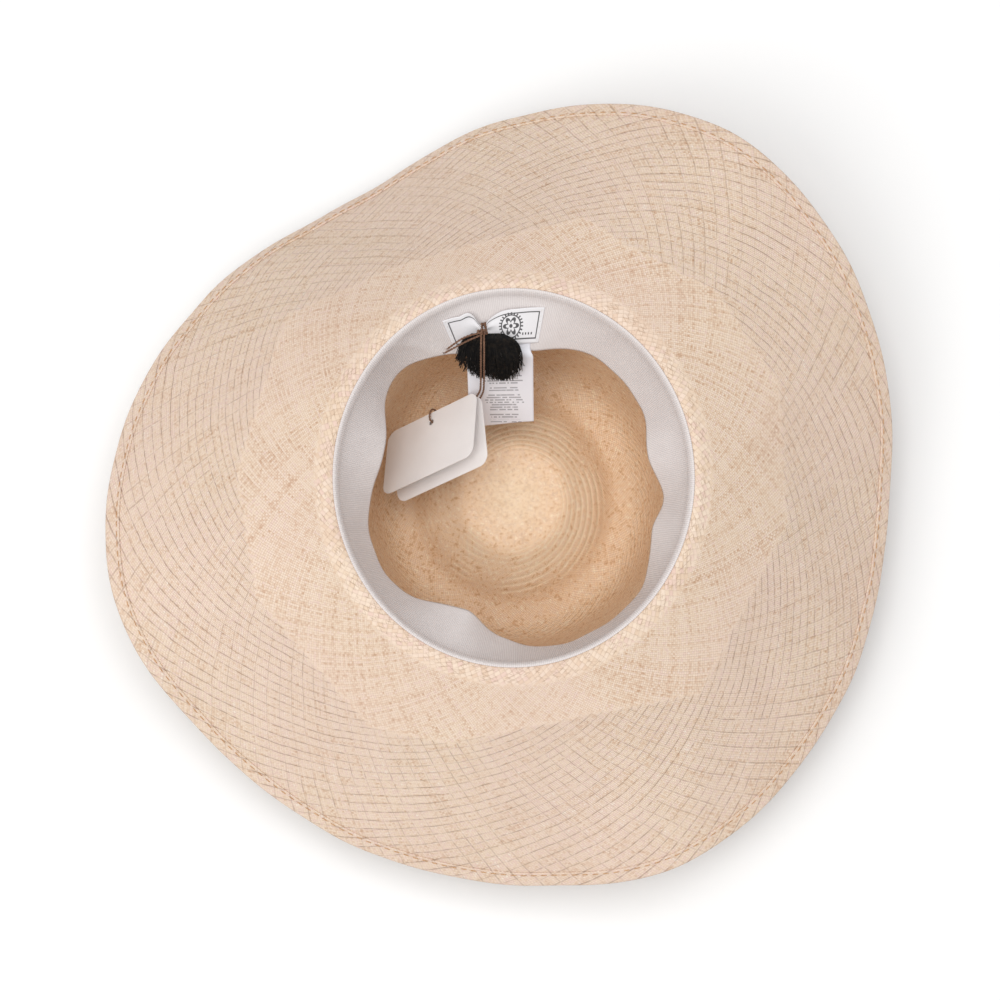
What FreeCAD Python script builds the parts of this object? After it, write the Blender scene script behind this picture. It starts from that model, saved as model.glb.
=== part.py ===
import FreeCAD, Part
import math
import os

# Wide-brimmed panama hat that lies crown down with its head opening up.
# Millimetres, +Z up. The origin is the centre of the ring that the crown rests on.
# The back of the hat is at +Y and the wearer's left is at -X.

V = FreeCAD.Vector
UP = V(0, 0, 1)

# ---- driving dimensions ----
STRAW = 1.3                 # thickness of the woven straw
HEAD_HALF_WIDTH = 89.05     # middle of the straw wall at the head opening, across the hat
HEAD_RATIO = 1.0556         # front-to-back over side-to-side
HEAD_HALF_LENGTH = HEAD_HALF_WIDTH * HEAD_RATIO
WALL_TOP = 100.0            # height where the crown's wall turns over into the brim
BEND = 8.0                  # length of straw in that turn
BRIM_WIDTH = 128.0          # straw from the crown's wall to the brim's edge, turn included
BRIM_ROOT_SLOPE = 0.5       # share of the droop that the brim already has where it leaves the crown

# Droop of the brim below the horizontal, degrees, at stations round the hat (angle from +X).
BRIM_DROOP = [(0, 35), (40, 18.5), (60, 15), (90, 36.5), (118, 51), (148, 39), (190, 16), (200, 16.5),
              (220, 30), (250, 35), (275, 31.5), (294, 22.5), (320, 30), (345, 35)]

# Crown profile, outside face: half-width and height.
# The ring between the two curves is drawn a little low and cut flat at height 0.
TIP_DENT = [(0, 12.0), (20, 11.7), (36, 10.4), (45, 6.4), (51, 1.8), (56, -0.05)]
REST_RING = (56.0, 61.0)
RING_HEIGHT = -0.05
CROWN_WALL = [(61, -0.05), (69.5, 3.6), (75.5, 14), (80.0, 32), (83.9, 55), (87.3, 78), (89.7, 100)]
SIDE_FROM = 14.0            # height where the crown's tip ends and its side begins

# Sweatband: how far its free edge stands in from the straw wall, at stations round the hat.
BAND_EDGE_INSET = [(10, 18.7), (30, 13.7), (60, 15.5), (80, 25), (95, 27.3), (108, 25), (118, 18.5),
                   (140, 8), (165, 21), (200, 11), (220, 12), (248, 24), (265, 15), (283, 8.8),
                   (322, 6.6), (343, 14.5), (356, 12.1)]
BAND_FREE_WIDTH = 31.5      # ribbon below the turn
BAND_ROOT_INSET = 1.1       # how far in it stands where its free part begins
BAND_THICKNESS = 0.7
BAND_LEAN = 1.3             # power of the ribbon's inward curve
BAND_SEAM = 3.4             # length along the brim of the row of stitches that holds it
BAND_STITCHES = 140
BAND_TOP = STRAW / 2 + 0.1 + BAND_THICKNESS     # its visible face, over the straw's middle surface

HEM_WIDTH = 8.0
HEM_TOP = 1.55              # its visible face, over the straw's middle surface
HEM_SEAM = 6.6              # the row of stitches, in from the brim's edge
HEM_STITCHES = 244
WIRE_DIAMETER = 0.9

LABEL_ENDS = (115.5, 79.0)          # angles of the woven label's sewn ends
LABEL_BAND = (0.25, 0.87)           # its upper and lower edges, as shares of the ribbon
LABEL_THICKNESS = 0.5
LABEL_PINCH = 101.8                  # angle at which the cord gathers it
LABEL_GAP = 0.2                     # between it and the ribbon at its sewn ends

CARE_WIDTH = 34.0
CARE_LENGTH = 50.5                  # free length below the ribbon's edge
CARE_SLOPE = 54.0                   # degrees below the horizontal
CARE_TILT = 0.02                    # rise of its right side over its width
CARE_ASKEW = 0.05                   # its right side is this share shorter, its left side longer
CARE_THICKNESS = 0.35
CARE_TOP = V(-6.9, 65.2, 81.8)      # middle of its upper end, at the ribbon's edge
CARE_STUB_BAND = (0.90, 0.995)      # where it is sewn to the ribbon, as shares of the ribbon

SKIRT_THICKNESS = 2.2
# Tassel threads: middle, width and upward direction of the sections from the neck to the cut ends.
SKIRT_SECTIONS = [(V(-13, 71.8, 91.3), 24.0, V(0, -0.5, 0.87)),
                  (V(-12.6, 68.9, 89.9), 29.0, V(0, -0.52, 0.85)),
                  (V(-12.2, 63.2, 86.5), 32.0, V(0, -0.66, 0.75)),
                  (V(-12.0, 58.4, 80.4), 33.0, V(0, -0.80, 0.60)),
                  (V(-11.8, 53.7, 73.8), 32.0, V(0, -0.81, 0.59))]
BINDING_START = V(-20, 73.2, 92.6)      # left end of the wrapped neck
BINDING_LENGTH = 14.0
BINDING_RADIUS = 1.2

KNOT = V(-15.7, 74.3, 97.6)
KNOT_RADIUS = 2.6
KNOT_LENGTHENING = 1.25     # along the cord
KNOT_FLATTENING = 0.85      # towards the wall
CORD_DIAMETER = 1.1

TAG_LENGTH = 66.0
TAG_HEIGHT = 39.0
TAG_THICKNESS = 0.4
TAG_CORNER = 6.0
TAG_HOLE_RADIUS = 1.7
TAG_HOLE_INSET = 6.0
TAG_CORNER_POINT = V(-66.4, 32.4, 24.6)     # corner deepest in the crown
TAG_LONG = V(48.2, 16.7, 42.8)              # direction of the edge that holds the hole
TAG_DOWN = V(-3.1, -35.8, 15.5)             # roughly across the tag
TAG_GAP = 4.0                               # between the two tags at the cord
TAG_FAN = 13.0                              # degrees that the back tag hangs open

HATBAND_HEIGHTS = (71.0, 96.0)
HATBAND_THICKNESS = 0.8
HATBAND_GAP = 0.12          # between the ribbon and the straw
BOW_GAP = 0.4               # between the bow and the hatband
# Bow loop: distance from the knot, thickness, lower and upper edge of its sections.
LOOP_SECTIONS = [(3.4, 3.0, 74, 93), (12, 4.2, 72.5, 94.5), (22, 3.8, 72, 95), (31, 1.6, 72, 95)]
BOW_KNOT_SECTIONS = [(-3.0, 4.4, 73, 94), (0, 5.0, 72.8, 94.2), (3.0, 4.4, 73, 94)]

RING_POINTS = 72
BAND_RING_POINTS = 120

os.makedirs("parts", exist_ok=True)


def save(name, shape):
    """Write one node and print its volume."""
    shape.exportStep("parts/" + name + ".step")
    box = shape.optimalBoundingBox(False)
    print("%-22s solids %3d  valid %s  volume %9.1f  x %.1f..%.1f y %.1f..%.1f z %.1f..%.1f" % (
        name, len(shape.Solids), shape.isValid(), shape.Volume,
        box.XMin, box.XMax, box.YMin, box.YMax, box.ZMin, box.ZMax))


def around(stations, angle):
    """Smooth periodic value at an angle, through (angle, value) stations."""
    count = len(stations)
    for i in range(count):
        start, low = stations[i]
        end, high = stations[(i + 1) % count]
        span = (end - start) % 360.0
        reach = (angle - start) % 360.0
        if reach <= span:
            before, low_before = stations[i - 1]
            after, high_after = stations[(i + 2) % count]
            slope_in = (high - low_before) / ((end - before) % 360.0) * span
            slope_out = (high_after - low) / ((after - start) % 360.0) * span
            t = reach / span
            return (low * (1 + 2 * t) * (1 - t) ** 2 + slope_in * t * (1 - t) ** 2
                    + high * t * t * (3 - 2 * t) + slope_out * t * t * (t - 1))
    raise ValueError("the stations do not go all the way round")


def head_frame(angle):
    """Point of the head oval at an angle, and the oval's outward direction there."""
    a = math.radians(angle)
    point = V(HEAD_HALF_WIDTH * math.cos(a), HEAD_HALF_LENGTH * math.sin(a), 0)
    outward = V(math.cos(a) / HEAD_HALF_WIDTH, math.sin(a) / HEAD_HALF_LENGTH, 0)
    outward.normalize()
    return point, outward


def brim_section(angle, length):
    """Reach, height and travel direction of the brim's middle surface after a length of straw."""
    droop = around(BRIM_DROOP, angle)
    steps = 64
    step = length / steps
    reach = 0.0
    height = WALL_TOP
    for i in range(steps):
        s = (i + 0.5) * step
        turn = brim_turn(droop, s)
        reach += math.sin(turn) * step
        height += math.cos(turn) * step
    return reach, height, brim_turn(droop, length)


def brim_turn(droop, s):
    """Travel direction in radians from straight up, a length s along the brim."""
    rest = 1 - min(1.0, s / BRIM_WIDTH)
    full = 90 + droop * (1 - (1 - BRIM_ROOT_SLOPE) * rest ** 3)
    return math.radians(full) * min(1.0, s / BEND)


def brim_point(angle, length, offset):
    """Point of the brim: length along the straw, offset towards the face seen from above."""
    base, outward = head_frame(angle)
    reach, height, turn = brim_section(angle, length)
    reach -= math.cos(turn) * offset
    height += math.sin(turn) * offset
    return base + outward * reach + UP * height


def band_point(angle, share, offset):
    """Point of the sweatband's middle surface, share 0 at its sewn end of the free part, 1 at its edge."""
    base, outward = head_frame(angle)
    inset = around(BAND_EDGE_INSET, angle)
    lean = inset - BAND_ROOT_INSET
    drop = math.sqrt(BAND_FREE_WIDTH ** 2 - lean ** 2)
    reach = -BAND_ROOT_INSET - lean * share ** BAND_LEAN
    height = WALL_TOP + 0.5 - drop * share
    run = lean * BAND_LEAN * max(share, 0.02) ** (BAND_LEAN - 1)
    length = math.hypot(run, drop)
    reach -= offset * drop / length
    height += offset * run / length
    return base + outward * reach + UP * height


def ring(point_at, count=RING_POINTS):
    """Closed smooth edge through points taken all the way round the hat."""
    curve = Part.BSplineCurve()
    curve.interpolate([point_at(360.0 * i / count) for i in range(count)], PeriodicFlag=True)
    return Part.Wire([curve.toShape()])


def ring_solid(sections, count=RING_POINTS):
    """Solid of revolution-like form: (length, offset) corners carried round the hat."""
    wires = [ring(section, count) for section in sections]
    solid = Part.makeLoft(wires, True, True, True)
    if solid.Volume < 0:
        solid.reverse()
    return solid


def spline(points, start=None, end=None):
    """Smooth edge through points, with end directions where they are given."""
    curve = Part.BSplineCurve()
    if start is None:
        curve.interpolate(points)
    else:
        curve.interpolate(Points=points, Scale=False, InitialTangent=start, FinalTangent=end)
    return curve


def profile_points(outline):
    """Points of a crown outline in the XZ plane."""
    return [V(x, 0, z) for x, z in outline]


def offset_copy(curve, distance, count):
    """Points of a curve in the XZ plane, moved towards the inside of the hat."""
    points = []
    for i in range(count + 1):
        u = curve.FirstParameter + (curve.LastParameter - curve.FirstParameter) * i / count
        along = curve.tangent(u)[0]
        points.append(curve.value(u) + V(-along.z, 0, along.x) * distance)
    return points


def stretch_to_oval(shape):
    """Round form made into the head's oval."""
    matrix = FreeCAD.Matrix()
    matrix.A22 = HEAD_RATIO
    return shape.transformGeometry(matrix)


def crown_curves():
    """The two smooth outside curves of the crown: the dent in its tip, and its shoulder and wall."""
    dent = spline(profile_points(TIP_DENT), V(1, 0, 0), V(1, 0, 0))
    wall = spline(profile_points(CROWN_WALL), V(1, 0, 0), V(0.08, 0, 1))
    return dent, wall


def make_crown():
    """Crown: a shell with a dented tip, a flat rest ring and a tapered wall."""
    dent, wall = crown_curves()
    inner_dent = offset_copy(dent, STRAW, 14)
    inner_wall = offset_copy(wall, STRAW, 18)
    inner_wall[-1].z = WALL_TOP
    inner_dent[0].x = 0
    low, high = REST_RING
    edges = [dent.toShape(),
             Part.makeLine(V(low, 0, RING_HEIGHT), V(high, 0, RING_HEIGHT)),
             wall.toShape(),
             Part.makeLine(V(CROWN_WALL[-1][0], 0, WALL_TOP), inner_wall[-1]),
             spline(inner_wall).toShape(),
             Part.makeLine(inner_wall[0], inner_dent[-1]),
             spline(inner_dent).toShape(),
             Part.makeLine(inner_dent[0], V(0, 0, TIP_DENT[0][1]))]
    face = Part.Face(Part.Wire(Part.__sortEdges__(edges)))
    return stretch_to_oval(face.revolve(V(0, 0, 0), UP, 360))


def part_of_crown(low, high):
    """The crown between two heights."""
    reach = 2 * HEAD_HALF_LENGTH
    return make_crown().common(Part.makeBox(2 * reach, 2 * reach, high - low, V(-reach, -reach, low)))


def make_brim():
    """Brim: one sheet that turns out of the crown's wall and droops unevenly."""
    half = STRAW / 2
    lengths = [0, 2.5, 5, BEND, 20, 38, 58, 80, 104, BRIM_WIDTH - 1.6]
    top = [lambda a, s=s: brim_point(a, s, half) for s in lengths]
    bottom = [lambda a, s=s: brim_point(a, s, -half) for s in reversed(lengths)]
    return ring_solid(top + bottom)


def make_hem():
    """Brim's edge turned over a wire and folded back on the face that is seen from above."""
    skin = 0.35
    half = STRAW / 2
    bevel = 0.3
    root = 1.55
    inside = half + 0.05
    end = BRIM_WIDTH
    corners = [(end - root, -half), (end - bevel, -half), (end, bevel - half), (end, HEM_TOP - bevel),
               (end - bevel, HEM_TOP), (end - HEM_WIDTH, HEM_TOP), (end - HEM_WIDTH, inside),
               (end - skin, inside), (end - skin, skin - half), (end - root, skin - half)]
    return ring_solid([lambda a, s=s, n=n: brim_point(a, s, n) for s, n in corners])


def make_wire():
    """Springy wire inside the hem."""
    radius = WIRE_DIAMETER / 2
    inset = 0.95
    rise = 0.18
    sides = 8
    corners = []
    for i in range(sides):
        turn = 2 * math.pi * i / sides
        corners.append((BRIM_WIDTH - inset + radius * math.cos(turn), rise + radius * math.sin(turn)))
    return ring_solid([lambda a, s=s, n=n: brim_point(a, s, n) for s, n in corners])


def stitch(middle, along, normal, length, width, height):
    """One short flat stitch lying on a face."""
    across = normal.cross(along)
    across.normalize()
    corner = middle - along * (length / 2) - across * (width / 2)
    base = Part.makePolygon([corner, corner + along * length,
                             corner + along * length + across * width,
                             corner + across * width, corner])
    return Part.Face(base).extrude(normal * height)


def stitch_row(point_at, count, length, width, height, lift):
    """Stitches all the way round the hat on the face given by point_at(angle, offset)."""
    made = []
    for i in range(count):
        angle = 360.0 * i / count
        middle = point_at(angle, lift)
        along = point_at(angle + 0.4, lift) - point_at(angle - 0.4, lift)
        along.normalize()
        normal = point_at(angle, lift + 1) - middle
        normal = normal - along * normal.dot(along)
        normal.normalize()
        made.append(stitch(middle, along, normal, length, width, height))
    return Part.makeCompound(made)


def make_hem_stitches():
    """Row of stitches that holds the hem's free edge."""
    return stitch_row(lambda a, n: brim_point(a, BRIM_WIDTH - HEM_SEAM, n), HEM_STITCHES,
                      3.2, 0.5, 0.3, HEM_TOP + 0.15)


def make_band():
    """Sweatband: ribbon sewn over the turn of the straw, leaning in and waving along its free edge."""
    half = BAND_THICKNESS / 2
    under = BAND_TOP - BAND_THICKNESS
    shares = [0.0, 0.25, 0.5, 0.75, 1.0]
    seam = [BAND_SEAM + 1, BAND_SEAM - 1]
    inner = [lambda a, s=s: brim_point(a, s, BAND_TOP) for s in seam]
    inner += [lambda a, t=t: band_point(a, t, half) for t in shares]
    outer = [lambda a, t=t: band_point(a, t, -half) for t in reversed(shares)]
    outer += [lambda a, s=s: brim_point(a, s, under) for s in reversed(seam)]
    return ring_solid(inner + outer, BAND_RING_POINTS)


def make_band_stitches():
    """Stitches that hold the sweatband to the straw."""
    return stitch_row(lambda a, n: brim_point(a, BAND_SEAM, n), BAND_STITCHES,
                      2.4, 0.4, 0.25, BAND_TOP + 0.02)


def loft_plate(sections, ruled=False):
    """Thin plate through four-cornered sections."""
    wires = [Part.makePolygon(list(corners) + [corners[0]]) for corners in sections]
    solid = Part.makeLoft(wires, True, ruled)
    if solid.Volume < 0:
        solid.reverse()
    return solid


def label_section(angle, top, bottom, lift):
    """Cross-section of the woven label between two shares of the ribbon, standing off it by lift."""
    low = band_point(angle, bottom, lift)
    high = band_point(angle, top, lift)
    normal = band_point(angle, (top + bottom) / 2, lift + 1) - band_point(angle, (top + bottom) / 2, lift)
    return [low, high, high + normal * LABEL_THICKNESS, low + normal * LABEL_THICKNESS]


def make_label():
    """Woven label, sewn at both ends and gathered by the cord near its middle."""
    left, right = LABEL_ENDS
    top, bottom = LABEL_BAND
    flat = BAND_THICKNESS / 2 + LABEL_GAP
    waist = (0.50, 0.71, flat + 2.2)
    stations = [(left, top, bottom, flat), (left - 1.8, top, bottom, flat + 0.05),
                (left - 5.5, top + 0.02, bottom - 0.02, flat + 1.0),
                (LABEL_PINCH + 2.2, *waist), (LABEL_PINCH, 0.53, 0.69, flat + 2.6),
                (LABEL_PINCH - 2.2, *waist), (right + 14, top + 0.06, bottom, flat + 1.7),
                (right + 7, top + 0.02, bottom, flat + 1.2),
                (right + 1.8, top, bottom, flat + 0.05), (right, top, bottom, flat)]
    return loft_plate([label_section(*station) for station in stations], ruled=True)


def make_label_stitches():
    """Stitches along the two ends of the woven label, just off its face."""
    top, bottom = LABEL_BAND
    lift = BAND_THICKNESS / 2 + LABEL_GAP + 0.4
    count = 6
    made = []
    for angle in (LABEL_ENDS[0] - 1.0, LABEL_ENDS[1] + 1.0):
        under, _, face_top, face_low = label_section(angle, top, bottom, lift)
        normal = face_low - under
        normal.normalize()
        along = face_low - face_top
        for i in range(count):
            middle = face_top + along * ((i + 0.5) / count)
            made.append(stitch(middle, V(along).normalize(), normal, 1.8, 0.4, 0.25))
    return Part.makeCompound(made)


def care_frame():
    """Directions of the care label's free part: across, down its length, and out of its face."""
    slope = math.radians(CARE_SLOPE)
    across = V(1, CARE_TILT, 0)
    across.normalize()
    down = V(0.14, -math.cos(slope), -math.sin(slope))
    down = down - across * down.dot(across)
    down.normalize()
    return across, down, across.cross(down) * -1


def make_care_stub():
    """Upper end of the care label, sewn flat on the ribbon under the woven label."""
    lift = BAND_THICKNESS / 2 + LABEL_GAP
    top, bottom = CARE_STUB_BAND
    corners = [(top, lift), (bottom, lift), (bottom, lift + CARE_THICKNESS), (top, lift + CARE_THICKNESS)]
    angles = (110.5, 103.3, 96.2, 89.0, 81.8)
    return loft_plate([[band_point(angle, share, n) for share, n in corners] for angle in angles])


def make_care_label():
    """Free part of the care label, which hangs inwards from the ribbon's edge."""
    across, down, face = care_frame()
    corner = CARE_TOP - across * (CARE_WIDTH / 2)
    base = Part.makePolygon([corner, corner + across * CARE_WIDTH,
                             corner + across * CARE_WIDTH + down * (CARE_LENGTH * (1 - CARE_ASKEW)),
                             corner + down * (CARE_LENGTH * (1 + CARE_ASKEW)), corner])
    return Part.Face(base).extrude(face * CARE_THICKNESS)


def make_tassel_skirt():
    """Bundle of tassel threads laid over the ribbon's edge."""
    sections = []
    for middle, width, normal in SKIRT_SECTIONS:
        side = V(width / 2, 0, 0)
        rise = normal * (SKIRT_THICKNESS / 2)
        sections.append([middle - side - rise, middle + side - rise, middle + side + rise,
                         middle - side + rise])
    return loft_plate(sections)


def make_tassel_binding():
    """Wrapped neck above the tassel's threads."""
    return Part.makeCylinder(BINDING_RADIUS, BINDING_LENGTH, BINDING_START, V(1, 0, 0))


def make_knot():
    """Hard little knot of the hang-tag cord."""
    ball = Part.makeSphere(KNOT_RADIUS)
    matrix = FreeCAD.Matrix()
    matrix.A11 = KNOT_LENGTHENING
    matrix.A22 = KNOT_FLATTENING
    ball = ball.transformGeometry(matrix)
    ball.translate(KNOT)
    return ball


def round_path(points):
    """Straight runs joined by tangent arcs, as large as the runs allow; prints the radii."""
    edges = []
    radii = []
    start = points[0]
    for i in range(1, len(points) - 1):
        into = points[i] - points[i - 1]
        out = points[i + 1] - points[i]
        shorter = min(into.Length, out.Length)
        half_turn = into.getAngle(out) / 2
        cut = 0.45 * shorter
        radii.append(round(cut / math.tan(half_turn), 2))
        into.normalize()
        out.normalize()
        first = points[i] - into * cut
        last = points[i] + out * cut
        bow = (into * -1 + out)
        bow.normalize()
        depth = cut * (1 / math.cos(half_turn) - 1) / math.tan(half_turn)
        middle = points[i] + bow * depth
        edges.append(Part.LineSegment(start, first).toShape())
        edges.append(Part.Arc(first, middle, last).toShape())
        start = last
    edges.append(Part.LineSegment(start, points[-1]).toShape())
    print("cord radii", radii)
    return Part.Wire(edges)


def tube(points, diameter):
    """Cord along a route; its volume is compared with section times length."""
    path = round_path(points)
    along = points[1] - points[0]
    circle = Part.Wire([Part.makeCircle(diameter / 2, points[0], along)])
    solid = path.makePipeShell([circle], True, False)
    expected = math.pi * diameter ** 2 / 4 * path.Length
    print("cord length %.1f, volume %.1f, section times length %.1f" % (path.Length, solid.Volume, expected))
    return solid


def tag_frame():
    """Directions of the front tag: along its holed edge, across it, and out of its visible face."""
    along = V(TAG_LONG)
    along.normalize()
    down = TAG_DOWN - along * TAG_DOWN.dot(along)
    down.normalize()
    face = down.cross(along)
    return along, down, face


def front_hole():
    """Centre of the front tag's hole."""
    along, down, face = tag_frame()
    return TAG_CORNER_POINT + along * (TAG_LENGTH / 2) + down * TAG_HOLE_INSET


def make_tag(hole, along, down, face):
    """Rounded card with a hole at the middle of one long edge."""
    half = TAG_LENGTH / 2
    corner = hole - along * half - down * TAG_HOLE_INSET
    ends = [(0, 0), (TAG_LENGTH, 0), (TAG_LENGTH, TAG_HEIGHT), (0, TAG_HEIGHT)]
    points = [corner + along * x + down * y for x, y in ends]
    outline = []
    for i in range(4):
        here = points[i]
        before = points[i - 1] - here
        after = points[(i + 1) % 4] - here
        before.normalize()
        after.normalize()
        first = here + before * TAG_CORNER
        last = here + after * TAG_CORNER
        middle = here + (before + after) * (TAG_CORNER * (1 - math.sqrt(0.5)))
        following = points[(i + 1) % 4] - after * TAG_CORNER
        outline.append(Part.Arc(first, middle, last).toShape())
        outline.append(Part.LineSegment(last, following).toShape())
    card = Part.Face(Part.Wire(outline)).extrude(face * TAG_THICKNESS)
    card.translate(face * (-TAG_THICKNESS / 2))
    drill = Part.makeCylinder(TAG_HOLE_RADIUS, 4, hole - face * 2, face)
    return card.cut(drill)


def back_tag_frame():
    """The back tag hangs a little open from the front one."""
    along, down, face = tag_frame()
    fan = math.radians(TAG_FAN)
    opened = down * math.cos(fan) - face * math.sin(fan)
    return along, opened, opened.cross(along)


def back_hole():
    """Centre of the back tag's hole, further down the cord."""
    along, down, face = tag_frame()
    return front_hole() - face * TAG_GAP


def cord_route():
    """Route of the cord: down from the knot, through both tags, over their edge and back up."""
    along, down, face = tag_frame()
    hole = front_hole()
    return [V(-15.0, 73.0, 96.8), V(-14.9, 67.6, 95.2), V(-15.0, 60.2, 90.2), V(-15.2, 51.8, 77.2),
            V(-15.6, 47.8, 64.0), V(-22.0, 41.0, 54.0), V(-31.0, 33.0, 45.5),
            hole - face * 8.6 + down * 0.4, hole - face * 2.0, hole + face * 1.6 - down * 0.6,
            hole + face * 1.9 - down * 5.0, hole + face * 0.3 - down * 8.6, hole - face * 4.6 - down * 8.4,
            V(-31.5, 39.5, 47.0), V(-23.5, 43.0, 55.5), V(-17.2, 48.6, 64.6),
            V(-16.8, 51.9, 77.7), V(-16.6, 60.6, 90.8), V(-16.5, 68.2, 95.6), V(-16.3, 73.4, 97.4)]


def make_tails():
    """The two short cut ends of the cord beside the knot."""
    upper = tube([V(-18.0, 73.8, 97.6), V(-23.0, 72.8, 96.6), V(-28.5, 70.2, 94.2), V(-33.4, 67.0, 90.8)],
                 CORD_DIAMETER)
    lower = tube([V(-18.0, 72.6, 96.2), V(-23.0, 70.6, 94.8), V(-29.0, 67.8, 92.4), V(-35.0, 65.2, 88.4)],
                 CORD_DIAMETER)
    return Part.makeCompound([upper, lower])


def make_hatband():
    """Ribbon round the outside of the crown, next to the brim."""
    wall = crown_curves()[1]
    low, high = HATBAND_HEIGHTS
    parts = 6
    inner = []
    for i in range(parts + 1):
        height = low + (high - low) * i / parts
        inner.append(V(wall_half_width(wall, height) + HATBAND_GAP, 0, height))
    outer = [point + V(HATBAND_THICKNESS, 0, 0) for point in reversed(inner)]
    edges = [spline(inner).toShape(), Part.makeLine(inner[-1], outer[0]), spline(outer).toShape(),
             Part.makeLine(outer[-1], inner[0])]
    face = Part.Face(Part.Wire(edges))
    return stretch_to_oval(face.revolve(V(0, 0, 0), UP, 360))


def wall_half_width(wall, height):
    """Half-width of the crown's outside face at a height."""
    low, high = wall.FirstParameter, wall.LastParameter
    for _ in range(40):
        middle = (low + high) / 2
        if wall.value(middle).z < height:
            low = middle
        else:
            high = middle
    return wall.value(low).x


def bow_section(y, thickness, low, high):
    """Upright cross-section of the bow beside the crown at -X."""
    wall = crown_curves()[1]
    bulge = math.sqrt(1 - (y / HEAD_HALF_LENGTH) ** 2)
    ribbon = HATBAND_THICKNESS + HATBAND_GAP
    bottom = -(wall_half_width(wall, low) + ribbon) * bulge - BOW_GAP
    top = -(wall_half_width(wall, high) + ribbon) * bulge - BOW_GAP
    return [V(bottom, y, low), V(top, y, high), V(top - thickness, y, high), V(bottom - thickness, y, low)]


def make_bow_loop(side):
    """One flat loop of the bow, running from its knot towards one side."""
    return loft_plate([bow_section(side * y, thick, low, high) for y, thick, low, high in LOOP_SECTIONS])


def make_bow_knot():
    """Short ribbon wrapped round the middle of the bow."""
    return loft_plate([bow_section(*section) for section in BOW_KNOT_SECTIONS])


def main():
    along, down, face = tag_frame()
    save("crown_tip", part_of_crown(0.0, SIDE_FROM))
    save("crown_side", part_of_crown(SIDE_FROM, WALL_TOP + 1))
    save("straw_brim", make_brim())
    save("brim_hem", make_hem())
    save("brim_wire", make_wire())
    save("hem_stitches", make_hem_stitches())
    save("sweatband", make_band())
    save("sweatband_stitches", make_band_stitches())
    save("woven_label", make_label())
    save("label_stitches", make_label_stitches())
    save("care_label_stub", make_care_stub())
    save("care_label", make_care_label())
    save("tassel_skirt", make_tassel_skirt())
    save("tassel_binding", make_tassel_binding())
    save("cord_knot", make_knot())
    save("cord_tails", make_tails())
    save("tag_cord", tube(cord_route(), CORD_DIAMETER))
    save("front_tag", make_tag(front_hole(), along, down, face))
    save("back_tag", make_tag(back_hole(), *back_tag_frame()))
    save("hatband", make_hatband())
    save("bow_loop_front", make_bow_loop(-1))
    save("bow_loop_back", make_bow_loop(1))
    save("bow_knot", make_bow_knot())


main()
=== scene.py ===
import bpy
import math
import numpy as np
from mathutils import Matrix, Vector


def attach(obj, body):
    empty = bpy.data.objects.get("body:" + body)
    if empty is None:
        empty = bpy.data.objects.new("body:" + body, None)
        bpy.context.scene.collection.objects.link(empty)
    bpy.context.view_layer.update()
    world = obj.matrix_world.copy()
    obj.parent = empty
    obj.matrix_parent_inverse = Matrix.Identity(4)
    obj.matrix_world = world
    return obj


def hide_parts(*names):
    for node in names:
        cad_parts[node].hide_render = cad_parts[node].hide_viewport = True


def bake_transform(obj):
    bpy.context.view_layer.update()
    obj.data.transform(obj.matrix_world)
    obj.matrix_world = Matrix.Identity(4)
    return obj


# Wide-brimmed panama hat lying crown down with its head opening up.
# Lengths are in millimetres up to mesh_object, which makes them metres. +Z is up, the back of the hat +Y.

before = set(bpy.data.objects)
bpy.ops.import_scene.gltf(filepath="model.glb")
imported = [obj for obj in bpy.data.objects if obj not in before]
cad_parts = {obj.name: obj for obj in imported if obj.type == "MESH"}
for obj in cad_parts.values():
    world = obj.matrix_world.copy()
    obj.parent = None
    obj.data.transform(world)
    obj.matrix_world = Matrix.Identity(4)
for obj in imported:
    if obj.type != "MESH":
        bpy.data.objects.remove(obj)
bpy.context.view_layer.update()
MM = 0.001

# ---- sizes and stations shared with the CAD model ----
STRAW = 1.3
HEAD_HALF_WIDTH = 89.05
HEAD_RATIO = 1.0556
HEAD_HALF_LENGTH = HEAD_HALF_WIDTH * HEAD_RATIO
WALL_TOP = 100.0
BEND = 8.0
BRIM_WIDTH = 128.0
BRIM_ROOT_SLOPE = 0.5
BRIM_DROOP = [(0, 35), (40, 18.5), (60, 15), (90, 36.5), (118, 51), (148, 39), (190, 16), (200, 16.5),
              (220, 30), (250, 35), (275, 31.5), (294, 22.5), (320, 30), (345, 35)]
TIP_DENT = [(0, 12.0), (20, 11.7), (36, 10.4), (45, 6.4), (51, 1.8), (56, 0)]
CROWN_WALL = [(61, 0), (69.5, 3.6), (75.5, 14), (80.0, 32), (83.9, 55), (87.3, 78), (89.7, 100)]
BAND_EDGE_INSET = [(10, 18.7), (30, 13.7), (60, 15.5), (80, 25), (95, 27.3), (108, 25), (118, 18.5),
                   (140, 8), (165, 21), (200, 11), (220, 12), (248, 24), (265, 15), (283, 8.8),
                   (322, 6.6), (343, 14.5), (356, 12.1)]
BAND_FREE_WIDTH = 31.5
BAND_ROOT_INSET = 1.1
BAND_THICKNESS = 0.7
BAND_LEAN = 1.3
BAND_SEAM = 3.4
BAND_STITCHES = 140
BAND_ROUND = 86.0      # mean radius that the ribbon's cloth map is laid out on
BAND_TOP = STRAW / 2 + 0.1 + BAND_THICKNESS
HEM_WIDTH = 8.0
HEM_TOP = 1.55
HEM_SEAM = 6.6
HEM_STITCHES = 244
LABEL_ENDS = (115.5, 79.0)
LABEL_BAND = (0.25, 0.87)
LABEL_PINCH = 101.8
LABEL_THICKNESS = 0.5
LABEL_LIFT = BAND_THICKNESS / 2 + 0.1
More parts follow.
